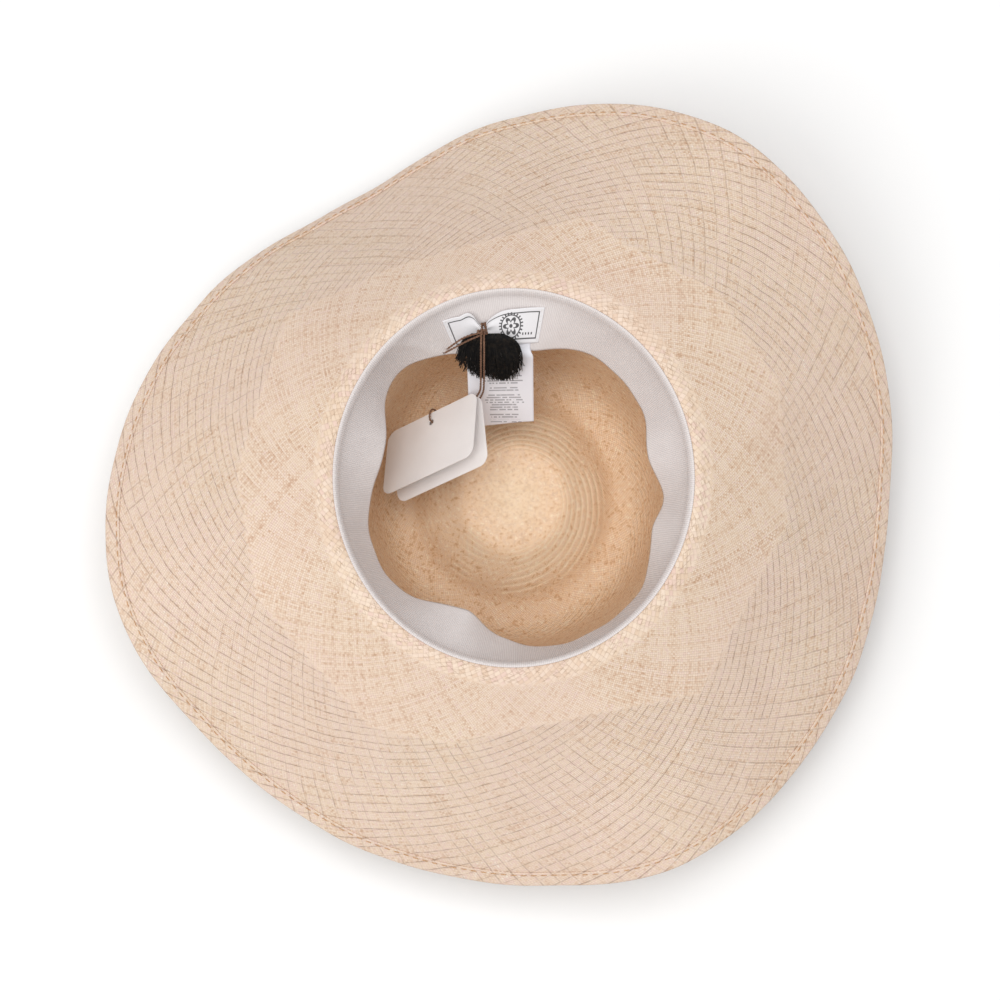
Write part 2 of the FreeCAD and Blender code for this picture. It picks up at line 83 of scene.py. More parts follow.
# Edge of the close basket weave round the crown: plan distance from the axis at angles from +X.
BASKET_EDGE = [(-9, 140), (20, 143), (43, 140), (64, 131), (75, 139), (120, 126), (143, 145), (179, 139),
               (205, 141), (222, 136), (240, 143), (256, 136), (311, 142)]


# ---- camera: metres, and degrees off straight down ----

CAMERA_TILT = 7
CAMERA_DISTANCE = 1.3
CAMERA_SHIFT = (-0.0135, -0.024)
OPENING = Vector((0, 0, 0.105))
VIEW_HALF_WIDTH = 0.25
SENSOR_WIDTH = 36

def make_camera():
    """Camera above the head opening, seven degrees off straight down."""
    tilt = math.radians(CAMERA_TILT)
    towards = Vector((0, math.sin(tilt), -math.cos(tilt)))
    data = bpy.data.cameras.new("camera")
    camera = bpy.data.objects.new("camera", data)
    bpy.context.scene.collection.objects.link(camera)
    camera.location = OPENING - towards * CAMERA_DISTANCE
    camera.rotation_euler = (tilt, 0, 0)
    data.sensor_width = SENSOR_WIDTH
    data.lens = SENSOR_WIDTH / 2 / (VIEW_HALF_WIDTH / CAMERA_DISTANCE)
    data.shift_x, data.shift_y = CAMERA_SHIFT
    data.clip_end = 50
    bpy.context.scene.camera = camera


make_camera()


# ---- small helpers ----

def srgb(red, green, blue):
    """Linear colour from 0 to 255 display values."""
    def linear(v):
        v /= 255
        return v / 12.92 if v <= 0.04045 else ((v + 0.055) / 1.055) ** 2.4
    return (linear(red), linear(green), linear(blue), 1.0)


def unit(v):
    """Vectors along the last axis made one long."""
    return v / np.maximum(np.linalg.norm(v, axis=-1, keepdims=True), 1e-9)


def mesh_object(name, points, faces, material, body, nodes=(), slot=None, uv=None, values=None):
    """Mesh piece from points in millimetres and equal-sided faces.

    It rides on a body and takes the place of CAD nodes, where these are given. The slot argument is not used.
    """
    points = np.asarray(points, float).reshape(-1, 3) * MM
    faces = np.asarray(faces, np.int32)
    mesh = bpy.data.meshes.new(name)
    mesh.vertices.add(len(points))
    mesh.vertices.foreach_set("co", points.astype(np.float32).ravel())
    mesh.loops.add(faces.size)
    mesh.loops.foreach_set("vertex_index", faces.ravel())
    mesh.polygons.add(len(faces))
    mesh.polygons.foreach_set("loop_start", np.arange(len(faces), dtype=np.int32) * faces.shape[1])
    mesh.update(calc_edges=True)
    mesh.validate()
    mesh.polygons.foreach_set("use_smooth", np.ones(len(mesh.polygons), bool))
    if uv is not None:
        layer = mesh.uv_layers.new(name="cloth")
        index = np.empty(len(mesh.loops), np.int32)
        mesh.loops.foreach_get("vertex_index", index)
        layer.data.foreach_set("uv", np.asarray(uv, np.float32).reshape(-1, 2)[index].ravel())
    for key, value in (values or {}).items():
        attribute = mesh.attributes.new(key, "FLOAT", "POINT")
        attribute.data.foreach_set("value", np.asarray(value, np.float32).ravel())
    mesh.materials.append(material)
    piece = bpy.data.objects.new(name, mesh)
    bpy.context.scene.collection.objects.link(piece)
    if body:
        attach(piece, body)
    if nodes:
        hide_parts(*nodes)
    return piece


def grid_faces(rows, columns, loop_rows, loop_columns):
    """Four-sided faces of a grid of points, row by row, closed where asked."""
    i = np.arange(rows if loop_rows else rows - 1)
    j = np.arange(columns if loop_columns else columns - 1)
    i, j = np.meshgrid(i, j, indexing="ij")
    up, right = (i + 1) % rows, (j + 1) % columns
    corners = [i * columns + j, up * columns + j, up * columns + right, i * columns + right]
    return np.stack([c.ravel() for c in corners], 1)


def plate_faces(columns, rows):
    """Faces of a thin plate: front grid, back grid and the edge between them."""
    front = grid_faces(columns, rows, False, False)
    n = columns * rows
    rim = ([i * rows for i in range(columns)] + [(columns - 1) * rows + j for j in range(1, rows)]
           + [i * rows + rows - 1 for i in range(columns - 2, -1, -1)] + [j for j in range(rows - 2, 0, -1)])
    rim = np.array(rim)
    following = np.roll(rim, -1)
    edge = np.stack([rim, following, following + n, rim + n], 1)
    return np.concatenate([front[:, ::-1], front + n, edge])


def plate(middle, half):
    """Points and faces of a thin sheet, half a thickness either side of a grid of points."""
    normal = unit(np.cross(np.gradient(middle, axis=0), np.gradient(middle, axis=1)))
    verts = np.concatenate([(middle + normal * half).reshape(-1, 3), (middle - normal * half).reshape(-1, 3)])
    return verts, plate_faces(*middle.shape[:2])


def plate_uv(first, second):
    """Cloth map for both faces of a plate."""
    uv = np.stack(np.broadcast_arrays(first, second), -1).reshape(-1, 2)
    return np.concatenate([uv, uv])


def ring_grid(count, columns):
    """Angles in degrees all the way round and column numbers, as two grids."""
    return np.meshgrid(np.arange(count) * 360 / count, np.arange(columns), indexing="ij")


def ravelled(*values):
    """The values brought to one shape, each as one row."""
    return [np.ravel(np.asarray(v, float)) for v in np.broadcast_arrays(*values)]


def running(steps):
    """Lengths from the start, from the lengths of the steps."""
    return np.concatenate([[0], np.cumsum(steps)])


def hermite(low, high, slope_in, slope_out, t):
    """Cubic from low at t = 0 to high at t = 1 with the slopes given there."""
    return (low * (1 + 2 * t) * (1 - t) ** 2 + slope_in * t * (1 - t) ** 2
            + high * t * t * (3 - 2 * t) + slope_out * t * t * (t - 1))


def around(stations, angle):
    """Smooth periodic value at an angle, through (angle, value) stations."""
    count = len(stations)
    for i in range(count):
        start, low = stations[i]
        end, high = stations[(i + 1) % count]
        span = (end - start) % 360.0
        reach = (angle - start) % 360.0
        if reach <= span:
            before, low_before = stations[i - 1]
            after, high_after = stations[(i + 2) % count]
            slope_in = (high - low_before) / ((end - before) % 360.0) * span
            slope_out = (high_after - low) / ((after - start) % 360.0) * span
            return hermite(low, high, slope_in, slope_out, reach / span)
    raise ValueError("the stations do not go all the way round")


def all_around(stations, angles):
    """The same for many angles."""
    return np.array([around(stations, a) for a in np.ravel(angles)]).reshape(np.shape(angles))


def head_frame(angles):
    """Points of the head oval and its outward directions."""
    a = np.radians(angles)
    flat = np.zeros_like(a)
    point = np.stack([HEAD_HALF_WIDTH * np.cos(a), HEAD_HALF_LENGTH * np.sin(a), flat], -1)
    outward = unit(np.stack([np.cos(a) / HEAD_HALF_WIDTH, np.sin(a) / HEAD_HALF_LENGTH, flat], -1))
    return point, outward


BRIM_STEP = 0.25
BRIM_S = np.arange(0, BRIM_WIDTH + 2, BRIM_STEP)
BRIM_COLUMNS = 620


def brim_curves(angles):
    """Reach, height, travel direction and weave spread along the brim, for each angle."""
    droop = all_around(BRIM_DROOP, angles)[..., None]
    rest = 1 - np.minimum(1.0, BRIM_S / BRIM_WIDTH)
    full = 90 + droop * (1 - (1 - BRIM_ROOT_SLOPE) * rest ** 3)
    turn = np.radians(full) * np.minimum(1.0, BRIM_S / BEND)
    middle = (turn[..., 1:] + turn[..., :-1]) / 2
    start = np.zeros(turn.shape[:-1] + (1,))
    reach = np.concatenate([start, np.cumsum(np.sin(middle) * BRIM_STEP, -1)], -1)
    height = WALL_TOP + np.concatenate([start, np.cumsum(np.cos(middle) * BRIM_STEP, -1)], -1)
    radius = HEAD_HALF_WIDTH + reach
    mean_radius = (radius[..., 1:] + radius[..., :-1]) / 2
    spread = np.concatenate([start, np.cumsum(BRIM_STEP / mean_radius, -1)], -1)
    return reach, height, turn, spread


def brim_points(angles, lengths, offsets):
    """Points of the brim, the weave's spread there and the normals of its upper face."""
    angles, lengths, offsets = ravelled(angles, lengths, offsets)
    unique, index = np.unique(angles, return_inverse=True)
    reach, height, turn, spread = brim_curves(unique)
    place = np.clip(lengths / BRIM_STEP, 0, len(BRIM_S) - 1.001)
    low = place.astype(int)
    part = place - low
    r, h, t, w = (table[index, low] * (1 - part) + table[index, low + 1] * part
                  for table in (reach, height, turn, spread))
    base, outward = head_frame(angles)
    wave = hand_waves(angles, lengths)
    normal = -outward * np.cos(t)[:, None]
    normal[:, 2] = np.sin(t)
    points = base + outward * r[:, None]
    points[:, 2] += h
    return points + normal * (offsets + wave)[:, None], w, normal


def hand_waves(angles, lengths):
    """Slight unevenness of the woven brim, none beside the crown."""
    a = np.radians(angles)
    strength = np.clip((lengths - 12) / 60, 0, 1) * 0.32
    return strength * (np.sin(9 * a + lengths / 19) + 0.8 * np.sin(17 * a - lengths / 13 + 1)
                       + 0.6 * np.sin(29 * a + lengths / 9 + 2))


def band_points(angles, shares, offsets):
    """Points of the sweatband and its normals towards the axis."""
    angles, shares, offsets = ravelled(angles, shares, offsets)
    base, outward = head_frame(angles)
    unique, index = np.unique(angles, return_inverse=True)
    lean = all_around(BAND_EDGE_INSET, unique)[index] - BAND_ROOT_INSET
    drop = np.sqrt(BAND_FREE_WIDTH ** 2 - lean ** 2)
    reach = -BAND_ROOT_INSET - lean * np.clip(shares, 0, None) ** BAND_LEAN
    height = WALL_TOP + 0.5 - drop * shares
    run = lean * BAND_LEAN * np.maximum(shares, 0.02) ** (BAND_LEAN - 1)
    length = np.hypot(run, drop)
    normal = -outward * (drop / length)[:, None]
    normal[:, 2] = run / length
    points = base + outward * reach[:, None]
    points[:, 2] += height
    return points + normal * offsets[:, None], normal


# ---- material helpers ----

class Field:
    """A number that varies over the surface, built from math nodes."""

    def __init__(self, tree, socket):
        self.tree = tree
        self.socket = socket

    def make(self, operation, *others):
        node = self.tree.nodes.new("ShaderNodeMath")
        node.operation = operation
        for i, value in enumerate((self,) + others):
            if isinstance(value, Field):
                self.tree.links.new(value.socket, node.inputs[i])
            else:
                node.inputs[i].default_value = value
        return Field(self.tree, node.outputs[0])

    def __add__(self, other):
        return self.make("ADD", other)

    def __sub__(self, other):
        return self.make("SUBTRACT", other)

    def __mul__(self, other):
        return self.make("MULTIPLY", other)

    def __truediv__(self, other):
        return self.make("DIVIDE", other)

    def flip(self):
        return (self * -1.0) + 1.0

    def away(self, other):
        """Distance from a value."""
        return (self - other).make("ABSOLUTE")

    def wave(self, length):
        """Sine wave from 0 to 1 and of a length."""
        return (self * (2 * math.pi / length)).make("SINE") * 0.5 + 0.5

    def step(self, low, high):
        """0 below low, 1 above high, smooth between."""
        node = self.tree.nodes.new("ShaderNodeMapRange")
        node.interpolation_type = "SMOOTHSTEP"
        self.tree.links.new(self.socket, node.inputs["Value"])
        node.inputs["From Min"].default_value = low
        node.inputs["From Max"].default_value = high
        return Field(self.tree, node.outputs["Result"])

    def between(self, low, high, edge=0.1):
        """1 from low to high, 0 elsewhere, with soft edges."""
        return self.step(low - edge, low + edge) * self.step(high - edge, high + edge).flip()

    def blend(self, other, share):
        """Self where share is 0, other where it is 1."""
        return self + (other - self) * share

    def random(self, seed=0.0):
        """A fixed random number for each whole number."""
        node = self.tree.nodes.new("ShaderNodeTexWhiteNoise")
        node.noise_dimensions = "1D"
        self.tree.links.new((self.make("FLOOR") + (seed + 0.5)).socket, node.inputs["W"])
        return Field(self.tree, node.outputs["Value"])


class Finish:
    """A material with its Principled shader and the fields it is painted with."""

    def __init__(self, name, roughness=0.6, **sockets):
        self.material = bpy.data.materials.new(name)
        self.material.use_nodes = True
        self.tree = self.material.node_tree
        self.shader = self.tree.nodes["Principled BSDF"]
        self.shader.inputs["Roughness"].default_value = roughness
        for key, value in sockets.items():
            self.shader.inputs[key.replace("_", " ")].default_value = value

    def node(self, kind, **settings):
        node = self.tree.nodes.new(kind)
        for key, value in settings.items():
            setattr(node, key, value)
        return node

    def position(self):
        """X, Y and Z in millimetres in the row frame at rest."""
        coordinates = self.node("ShaderNodeTexCoord")
        apart = self.node("ShaderNodeSeparateXYZ")
        self.tree.links.new(coordinates.outputs["Object"], apart.inputs[0])
        return [Field(self.tree, apart.outputs[i]) * 1000.0 for i in range(3)]

    def cloth(self):
        """The two numbers of the piece's own cloth map, in millimetres."""
        coordinates = self.node("ShaderNodeUVMap", uv_map="cloth")
        apart = self.node("ShaderNodeSeparateXYZ")
        self.tree.links.new(coordinates.outputs[0], apart.inputs[0])
        return [Field(self.tree, apart.outputs[i]) for i in range(2)]

    def value(self, name):
        node = self.node("ShaderNodeAttribute", attribute_name=name)
        return Field(self.tree, node.outputs["Fac"])

    def noise(self, size, detail=2.0):
        """Smooth noise with features of about a size in millimetres."""
        coordinates = self.node("ShaderNodeTexCoord")
        mapping = self.node("ShaderNodeMapping")
        mapping.inputs["Scale"].default_value = [1000.0 / size] * 3
        noise = self.node("ShaderNodeTexNoise")
        noise.inputs["Scale"].default_value = 1.0
        noise.inputs["Detail"].default_value = detail
        self.tree.links.new(coordinates.outputs["Object"], mapping.inputs["Vector"])
        self.tree.links.new(mapping.outputs[0], noise.inputs["Vector"])
        return Field(self.tree, noise.outputs["Fac"])

    def mix(self, share, first, second):
        """Colour between two colours, which are tuples or sockets."""
        node = self.node("ShaderNodeMix", data_type="RGBA")
        self.tree.links.new(share.socket, node.inputs["Factor"])
        for socket, value in ((node.inputs[6], first), (node.inputs[7], second)):
            if isinstance(value, tuple):
                socket.default_value = value
            else:
                self.tree.links.new(value, socket)
        return node.outputs[2]

    def ramp(self, share, stops):
        """Colour along (place, colour) stops."""
        node = self.node("ShaderNodeValToRGB")
        ramp = node.color_ramp
        while len(ramp.elements) < len(stops):
            ramp.elements.new(0.5)
        for element, (place, colour) in zip(ramp.elements, stops):
            element.position = place
            element.color = colour
        self.tree.links.new(share.socket, node.inputs[0])
        return node.outputs[0]

    def paint(self, colour):
        self.tree.links.new(colour, self.shader.inputs["Base Color"])

    def rough(self, field):
        self.tree.links.new(field.socket, self.shader.inputs["Roughness"])

    def bump(self, height, depth):
        """Relief of a depth in millimetres from a field that runs from 0 to 1."""
        node = self.node("ShaderNodeBump")
        node.inputs["Strength"].default_value = 1.0
        node.inputs["Distance"].default_value = depth * MM
        self.tree.links.new(height.socket, node.inputs["Height"])
        self.tree.links.new(node.outputs[0], self.shader.inputs["Normal"])


def plain_weave(a, b, wrap_a, wrap_b, seed):
    """Over-and-under weave of strands between whole numbers of a and b: relief and a random tone."""
    across_a = (a * math.pi).make("SINE")
    across_b = (b * math.pi).make("SINE")
    over = (across_a * across_b).step(-0.12, 0.12)
    bulge_a = across_a.make("ABSOLUTE").make("POWER", 0.55)
    bulge_b = across_b.make("ABSOLUTE").make("POWER", 0.55)
    relief_a = bulge_a * (bulge_b * 0.35 + 0.65)
    relief_b = bulge_b * (bulge_a * 0.35 + 0.65)
    tone_a = a.make("FLOOR").make("WRAP", wrap_a, 0.0).random(seed)
    tone_b = b.make("FLOOR").make("WRAP", wrap_b, 0.0).random(seed + 5000.0)
    return relief_b.blend(relief_a, over), tone_b.blend(tone_a, over)


def groove(field, width):
    """1 in a thin line at each whole number, 0 elsewhere."""
    return field.make("FRACT").away(0.5).step(0.5 - width, 0.5 - width * 0.25)


# ---- cord: it comes first, straight after the camera ----

# The tag cord's route, the CAD model's: from the knot, through both tags, over their edge and back up.
TAG_LENGTH = 66.0
TAG_HOLE_INSET = 6.0
TAG_CORNER_POINT = np.array((-66.4, 32.4, 24.6))
TAG_ALONG = unit(np.array((48.2, 16.7, 42.8)))
TAG_DOWN = np.array((-3.1, -35.8, 15.5))
TAG_DOWN = unit(TAG_DOWN - TAG_ALONG * TAG_DOWN.dot(TAG_ALONG))
TAG_FACE = np.cross(TAG_DOWN, TAG_ALONG)
HOLE = TAG_CORNER_POINT + TAG_ALONG * (TAG_LENGTH / 2) + TAG_DOWN * TAG_HOLE_INSET
CORD_ROUTE = [(-15.0, 73.0, 96.8), (-14.9, 67.6, 95.2), (-15.0, 60.2, 90.2), (-15.2, 51.8, 77.2),
              (-15.6, 47.8, 64.0), (-22.0, 41.0, 54.0), (-31.0, 33.0, 45.5),
              HOLE - TAG_FACE * 8.6 + TAG_DOWN * 0.4, HOLE - TAG_FACE * 2.0,
              HOLE + TAG_FACE * 1.6 - TAG_DOWN * 0.6, HOLE + TAG_FACE * 1.9 - TAG_DOWN * 5.0,
              HOLE + TAG_FACE * 0.3 - TAG_DOWN * 8.6, HOLE - TAG_FACE * 4.6 - TAG_DOWN * 8.4,
              (-31.5, 39.5, 47.0), (-23.5, 43.0, 55.5), (-17.2, 48.6, 64.6),
              (-16.8, 51.9, 77.7), (-16.6, 60.6, 90.8), (-16.5, 68.2, 95.6), (-16.3, 73.4, 97.4)]
CORD_PITCH = 3.4


def smooth_path(route):
    """Points in millimetres along one NURBS curve through a route."""
    curve = bpy.data.curves.new("route_line", "CURVE")
    curve.dimensions = "3D"
    curve.resolution_u = 12
    spline = curve.splines.new("NURBS")
    spline.points.add(len(route) - 1)
    for point, place in zip(spline.points, route):
        point.co = (place[0] * MM, place[1] * MM, place[2] * MM, 1)
    spline.order_u = 3
    spline.use_endpoint_u = True
    holder = bpy.data.objects.new("route_line", curve)
    bpy.context.scene.collection.objects.link(holder)
    bpy.context.view_layer.update()
    mesh = bpy.data.meshes.new_from_object(holder)
    points = np.array([v.co for v in mesh.vertices]) / MM
    bpy.data.objects.remove(holder)
    bpy.data.meshes.remove(mesh)
    return points


def spaced(points, count):
    """A path at evenly spaced lengths, and those lengths."""
    length = running(np.linalg.norm(np.diff(points, axis=0), axis=1))
    places = np.linspace(0, length[-1], count)
    return np.stack([np.interp(places, length, column) for column in points.T], 1), places


def evenly(points, step, closed=False):
    """Points at an even step along a path, and the path's length."""
    if closed:
        points = np.concatenate([points, points[:1]])
    length = spaced(points, 2)[1][-1]
    out, _ = spaced(points, max(3, int(round(length / step)) + 1))
    return (out[:-1] if closed else out), length


def frames_along(points, closed=False):
    """Two directions across a path at each point that turn as little as possible."""
    if closed:
        along = unit(np.roll(points, -1, 0) - np.roll(points, 1, 0))
    else:
        along = unit(np.gradient(points, axis=0))
    side = np.cross(along[0], (0.3, 0.2, 0.93))
    sides = []
    for direction in along:
        side = side - direction * side.dot(direction)
        side = side / max(np.linalg.norm(side), 1e-9)
        sides.append(side)
    sides = np.array(sides)
    return sides, np.cross(along, sides)


def tube(points, radius, sides=8, closed=False, taper=1.0):
    """Points and faces of a round tube along a path, open at its ends."""
    across, over = frames_along(points, closed)
    turn = np.arange(sides) * 2 * math.pi / sides
    size = np.full(len(points), radius) * taper
    ring = (across[:, None] * np.cos(turn)[None, :, None] + over[:, None] * np.sin(turn)[None, :, None])
    body = (points[:, None] + ring * size[:, None, None]).reshape(-1, 3)
    return body, grid_faces(len(points), sides, closed, True)


def twisted(points, closed=False, thread=0.31, spread=0.27):
    """Points and faces of a cord of two twisted strands along an evenly spaced path."""
    across, over = frames_along(points, closed)
    turns = np.linalg.norm(points[1] - points[0]) * len(points) / CORD_PITCH
    turns = round(turns) if closed else turns
    angle = np.arange(len(points)) / len(points) * turns * 2 * math.pi
    parts = []
    for a in (angle, angle + math.pi):
        line = points + (across * np.cos(a)[:, None] + over * np.sin(a)[:, None]) * spread
        parts.append(tube(line, thread, 6, closed))
    return joined(parts)


def joined(parts):
    """Several (points, faces) as one."""
    verts, faces = [], []
    count = 0
    for v, f in parts:
        verts.append(v)
        faces.append(f + count)
        count += len(v)
    return np.concatenate(verts), np.concatenate(faces)


def cord_finish():
    """Brown waxed thread with lighter fibres."""
    finish = Finish("brown_cord", roughness=0.62)
    fibre = finish.noise(0.35, 3)
    patch = finish.noise(4.0, 2)
    share = fibre.step(0.3, 0.75) * 0.6 + patch * 0.5
    tones = [(0.1, srgb(74, 50, 38)), (0.5, srgb(112, 78, 58)), (0.9, srgb(160, 122, 96))]
    finish.paint(finish.ramp(share, tones))
    finish.bump(fibre, 0.08)
    return finish.material


CORD_FINISH = cord_finish()


def make_cord():
    """The tag cord, with its knot and cut ends."""
    path, length = evenly(smooth_path(CORD_ROUTE), 0.35)
    cord = mesh_object("tag_cord_strands", *twisted(path), CORD_FINISH, "tag_cord",
                       ["tag_cord"], "brown_cord")
    knot = make_knot()
    tails = make_tails()
    tuple(path[0] * MM)
    length * MM
    [tuple(p * MM) for p in path[::3]] + [tuple(path[-1] * MM)]


def full_turn(count):
    """Angles in radians, once round."""
    return np.linspace(0, 2 * math.pi, count, endpoint=False)


def make_knot():
    """Small hard knot: one strand looped through itself, with two turns round it."""
    t = full_turn(90)
    loop = np.stack([np.sin(t) + 2 * np.sin(2 * t), -np.sin(3 * t) * 0.9, np.cos(t) - 2 * np.cos(2 * t)], 1)
    centre = np.array((-15.7, 74.3, 97.6))
    path, _ = evenly(centre + loop * (0.86, 0.8, 0.72), 0.3, True)
    parts = [twisted(path, True)]
    for shift, size in ((-0.7, 1.7), (0.8, 1.55)):
        turn = full_turn(40)
        wrap = np.stack([np.full_like(turn, shift) + 0.35 * np.sin(turn), size * 0.85 * np.cos(turn),
                         size * np.sin(turn)], 1)
        path, _ = evenly(centre + wrap, 0.3, True)
        parts.append(twisted(path, True))
    return mesh_object("cord_knot_loops", *joined(parts), CORD_FINISH, "tag_cord",
                       ["cord_knot"], "brown_cord")


def make_tails():
    """The cord's two cut ends, a little frayed."""
    rng = np.random.default_rng(5)
    parts = []
    for route in ([(-17.0, 73.9, 97.8), (-23.0, 72.8, 96.6), (-28.5, 70.2, 94.2), (-33.4, 67.0, 90.8)],
                  [(-17.0, 72.8, 96.6), (-23.0, 70.6, 94.8), (-29.0, 67.8, 92.4), (-35.0, 65.2, 88.4)]):
        path, _ = evenly(smooth_path(route), 0.3)
        parts.append(twisted(path))
        end = path[-1]
        out = unit(path[-1] - path[-4])
        for _ in range(7):
            stray = unit(out + rng.normal(0, 0.35, 3)) * rng.uniform(0.8, 2.2)
            bend = rng.normal(0, 0.25, 3)
            line = np.array([end - out * 0.3 + stray * t + bend * t * t for t in np.linspace(0, 1, 5)])
            parts.append(tube(line, 0.09, 4))
    return mesh_object("cord_tails_strands", *joined(parts), CORD_FINISH, "tag_cord",
                       ["cord_tails"], "brown_cord")


make_cord()


# ---- straw ----

STRAW_TONES = [(0.0, srgb(192, 154, 124)), (0.18, srgb(211, 180, 154)), (0.4, srgb(224, 200, 176)),
               (0.62, srgb(230, 210, 190)), (0.8, srgb(222, 193, 178)), (1.0, srgb(234, 220, 203))]
CROWN_TONES = [(0.0, srgb(206, 162, 122)), (0.25, srgb(226, 188, 150)), (0.5, srgb(236, 204, 168)),
               (0.75, srgb(230, 196, 166)), (1.0, srgb(242, 218, 186))]
SPIRAL_A = 2.14     # how far strands of the first family lag behind as they run outwards
SPIRAL_B = 0.84     # how far those of the second family lead


def turn_fields(finish):
    """Angle round the hat in radians, and the weave's spread."""
    x, y, _ = finish.position()
    return (y / HEAD_RATIO).make("ARCTAN2", x), finish.value("spread")


def family(theta, spread, lag, count, waver):
    """Strand number across one spiral family of a whole number of strands."""
    return (theta + spread * lag) * (count / (2 * math.pi)) + waver


def brim_finish():
    """Straw brim: close basket weave near the crown, long spiral rows of rectangles beyond it."""
    finish = Finish("brim_straw", roughness=0.62)
    theta, spread = turn_fields(finish)
    arc = finish.value("arc")
    beyond = finish.value("beyond")
    waver = (finish.noise(16.0, 2) - 0.5) * 1.1

    def strands(lag, count, unevenness):
        return family(theta, spread, lag, count, waver * unevenness)

    row_a = strands(SPIRAL_A, 96, 0.35)
    row_b = strands(-SPIRAL_B, 116, 0.25)
    outer, outer_tone = plain_weave(row_a * 5.0, row_b * 6.0, 480, 696, 11.0)
    inner, inner_tone = plain_weave(strands(1.0, 470, 1.0), strands(-1.0, 470, 1.0), 470, 470, 21.0)
    root, root_tone = plain_weave(strands(1.5, 170, 0.5), strands(-0.6, 190, 0.5), 170, 190, 31.0)
    is_outer = (beyond + (finish.noise(5.0, 1) - 0.5) * 3.0).step(-1.0, 2.0)
    is_root = arc.step(11.0, 14.5).flip()
    relief = inner.blend(outer, is_outer).blend(root, is_root)
    tone = inner_tone.blend(outer_tone, is_outer).blend(root_tone, is_root)
    fade = finish.noise(38.0, 2).step(0.32, 0.62)
    broken = finish.noise(3.2, 2).step(0.34, 0.62)
    # Painted shade: the grooves between the rows of rectangles are painted dark, one family stronger than the
    # other.
    lines_a = groove(row_a, 0.11) * (fade * 0.5 + 0.5)
    lines_b = groove(row_b, 0.08) * (fade.flip() * 0.6 + 0.25)
    shaded_grooves = lines_a.make("MAXIMUM", lines_b) * is_outer * is_root.flip() * (broken * 0.7 + 0.3)
    cell = (row_a.make("FLOOR") * 7.0 + row_b.make("FLOOR") * 131.0).random(3.0)
    patch = finish.noise(24.0, 3)
    speck = finish.noise(2.0, 3)
    tone = tone * 0.5 + cell * is_outer * 0.2 + patch * 0.2 + (speck - 0.5) * 1.2 + 0.1
    tone = tone.blend(root_tone * 0.5 + 0.3, is_root)
    straw = finish.ramp(tone, STRAW_TONES)
    pink = finish.noise(70.0, 1).step(0.35, 0.65)
    straw = finish.mix(pink * 0.22, straw, srgb(224, 196, 184))
    # Painted shade: dark brown in the low places of the weave, between the strands.
    gap_shade = relief.step(0.10, 0.62).flip() * (is_outer.flip() * 0.16 + 0.26)
    straw = finish.mix(gap_shade * (speck.step(0.3, 0.65) * 0.6 + 0.5), straw, srgb(150, 112, 84))
    # Painted shade in the grooves.
    straw = finish.mix(shaded_grooves * 0.46, straw, srgb(136, 98, 74))
    # Painted shade in the grooves of the braid beside the crown, in patches.
    braid_groove_shade = groove(strands(2.4, 120, 1.0), 0.16).make("MAXIMUM", groove(strands(-2.4, 120, 1.0), 0.12))
    braid_groove_shade = braid_groove_shade * is_root * arc.step(2.0, 5.0) * finish.noise(4.0, 2).step(0.42, 0.62)
    straw = finish.mix(braid_groove_shade * 0.45, straw, srgb(150, 116, 84))
    rim = (arc + (finish.noise(2.0, 1) - 0.5) * 2.2).step(127.0, 128.4)
    straw = finish.mix(rim * 0.35, straw, srgb(150, 108, 76))
    finish.paint(straw)
    finish.rough(relief * -0.14 + 0.68)
    finish.bump(relief * 0.6 + shaded_grooves * -0.5 + patch * 0.5, 0.34)
    return finish.material


def crown_finish():
    """Straw crown: spiral ribs in the dent, fine diagonal weave on the side."""
    finish = Finish("crown_straw", roughness=0.55)
    theta, spread = turn_fields(finish)
    arc = finish.value("arc")
    waver = finish.noise(14.0, 2) - 0.5
    rib = family(theta, spread, 7.0, 11, waver * 0.5)
    in_dent = arc.step(21.0, 29.0) * arc.step(46.0, 56.0).flip()
    in_dent = in_dent * (finish.noise(26.0, 1).step(0.34, 0.60) * 0.85 + 0.15)
    ribs = rib.wave(1.0).make("POWER", 2.0) * (in_dent * (finish.noise(2.4, 2) * 1.1 + 0.35))
    row = family(theta, spread, 2.6, 66, waver * 0.5)
    on_side = arc.step(62.0, 72.0)
    fine, fine_tone = plain_weave(family(theta, spread, 1.3, 260, waver * 1.5),
                                  family(theta, spread, -1.0, 236, waver * 1.5), 260, 236, 41.0)
    near = arc.step(20.0, 34.0).flip()
    speckle = finish.noise(2.0, 2)
    relief = fine.blend(speckle, near)
    tone = fine_tone.blend(speckle, near)
    patch = finish.noise(12.0, 3)
    mottle = finish.noise(2.3, 3)
    tone = tone * 0.5 + patch * 0.3 + (mottle - 0.5) * 2.4 + 0.14
    straw = finish.ramp(tone, CROWN_TONES)
    # Painted light: the middle of the dent is painted paler, standing in for light that the deep crown floor
    # does not get.
    pale = arc.step(2.0, 30.0).flip() * 0.5
    straw = finish.mix(pale, straw, srgb(244, 226, 196))
    straw = finish.mix(ribs * 0.6, straw, srgb(246, 226, 194))
    rows = groove(row, 0.16) * on_side
    straw = finish.mix(rows * 0.3, straw, srgb(242, 214, 178))
    # Painted shade: dark brown in the low places of the weave between the strands, weaker in the middle of
    # the dent.
    gap_shade = relief.step(0.10, 0.65).flip() * (near.flip() * 0.35 + 0.3)
    straw = finish.mix(gap_shade * (mottle.step(0.35, 0.6) * 0.8 + 0.3), straw, srgb(158, 108, 70))
    finish.paint(straw)
    finish.rough(relief * -0.16 + 0.60)
    finish.bump(relief * (near.flip() * 0.35 + 0.15) + ribs * 0.7 + rows * 0.6 + mottle * 0.8, 0.42)
    return finish.material


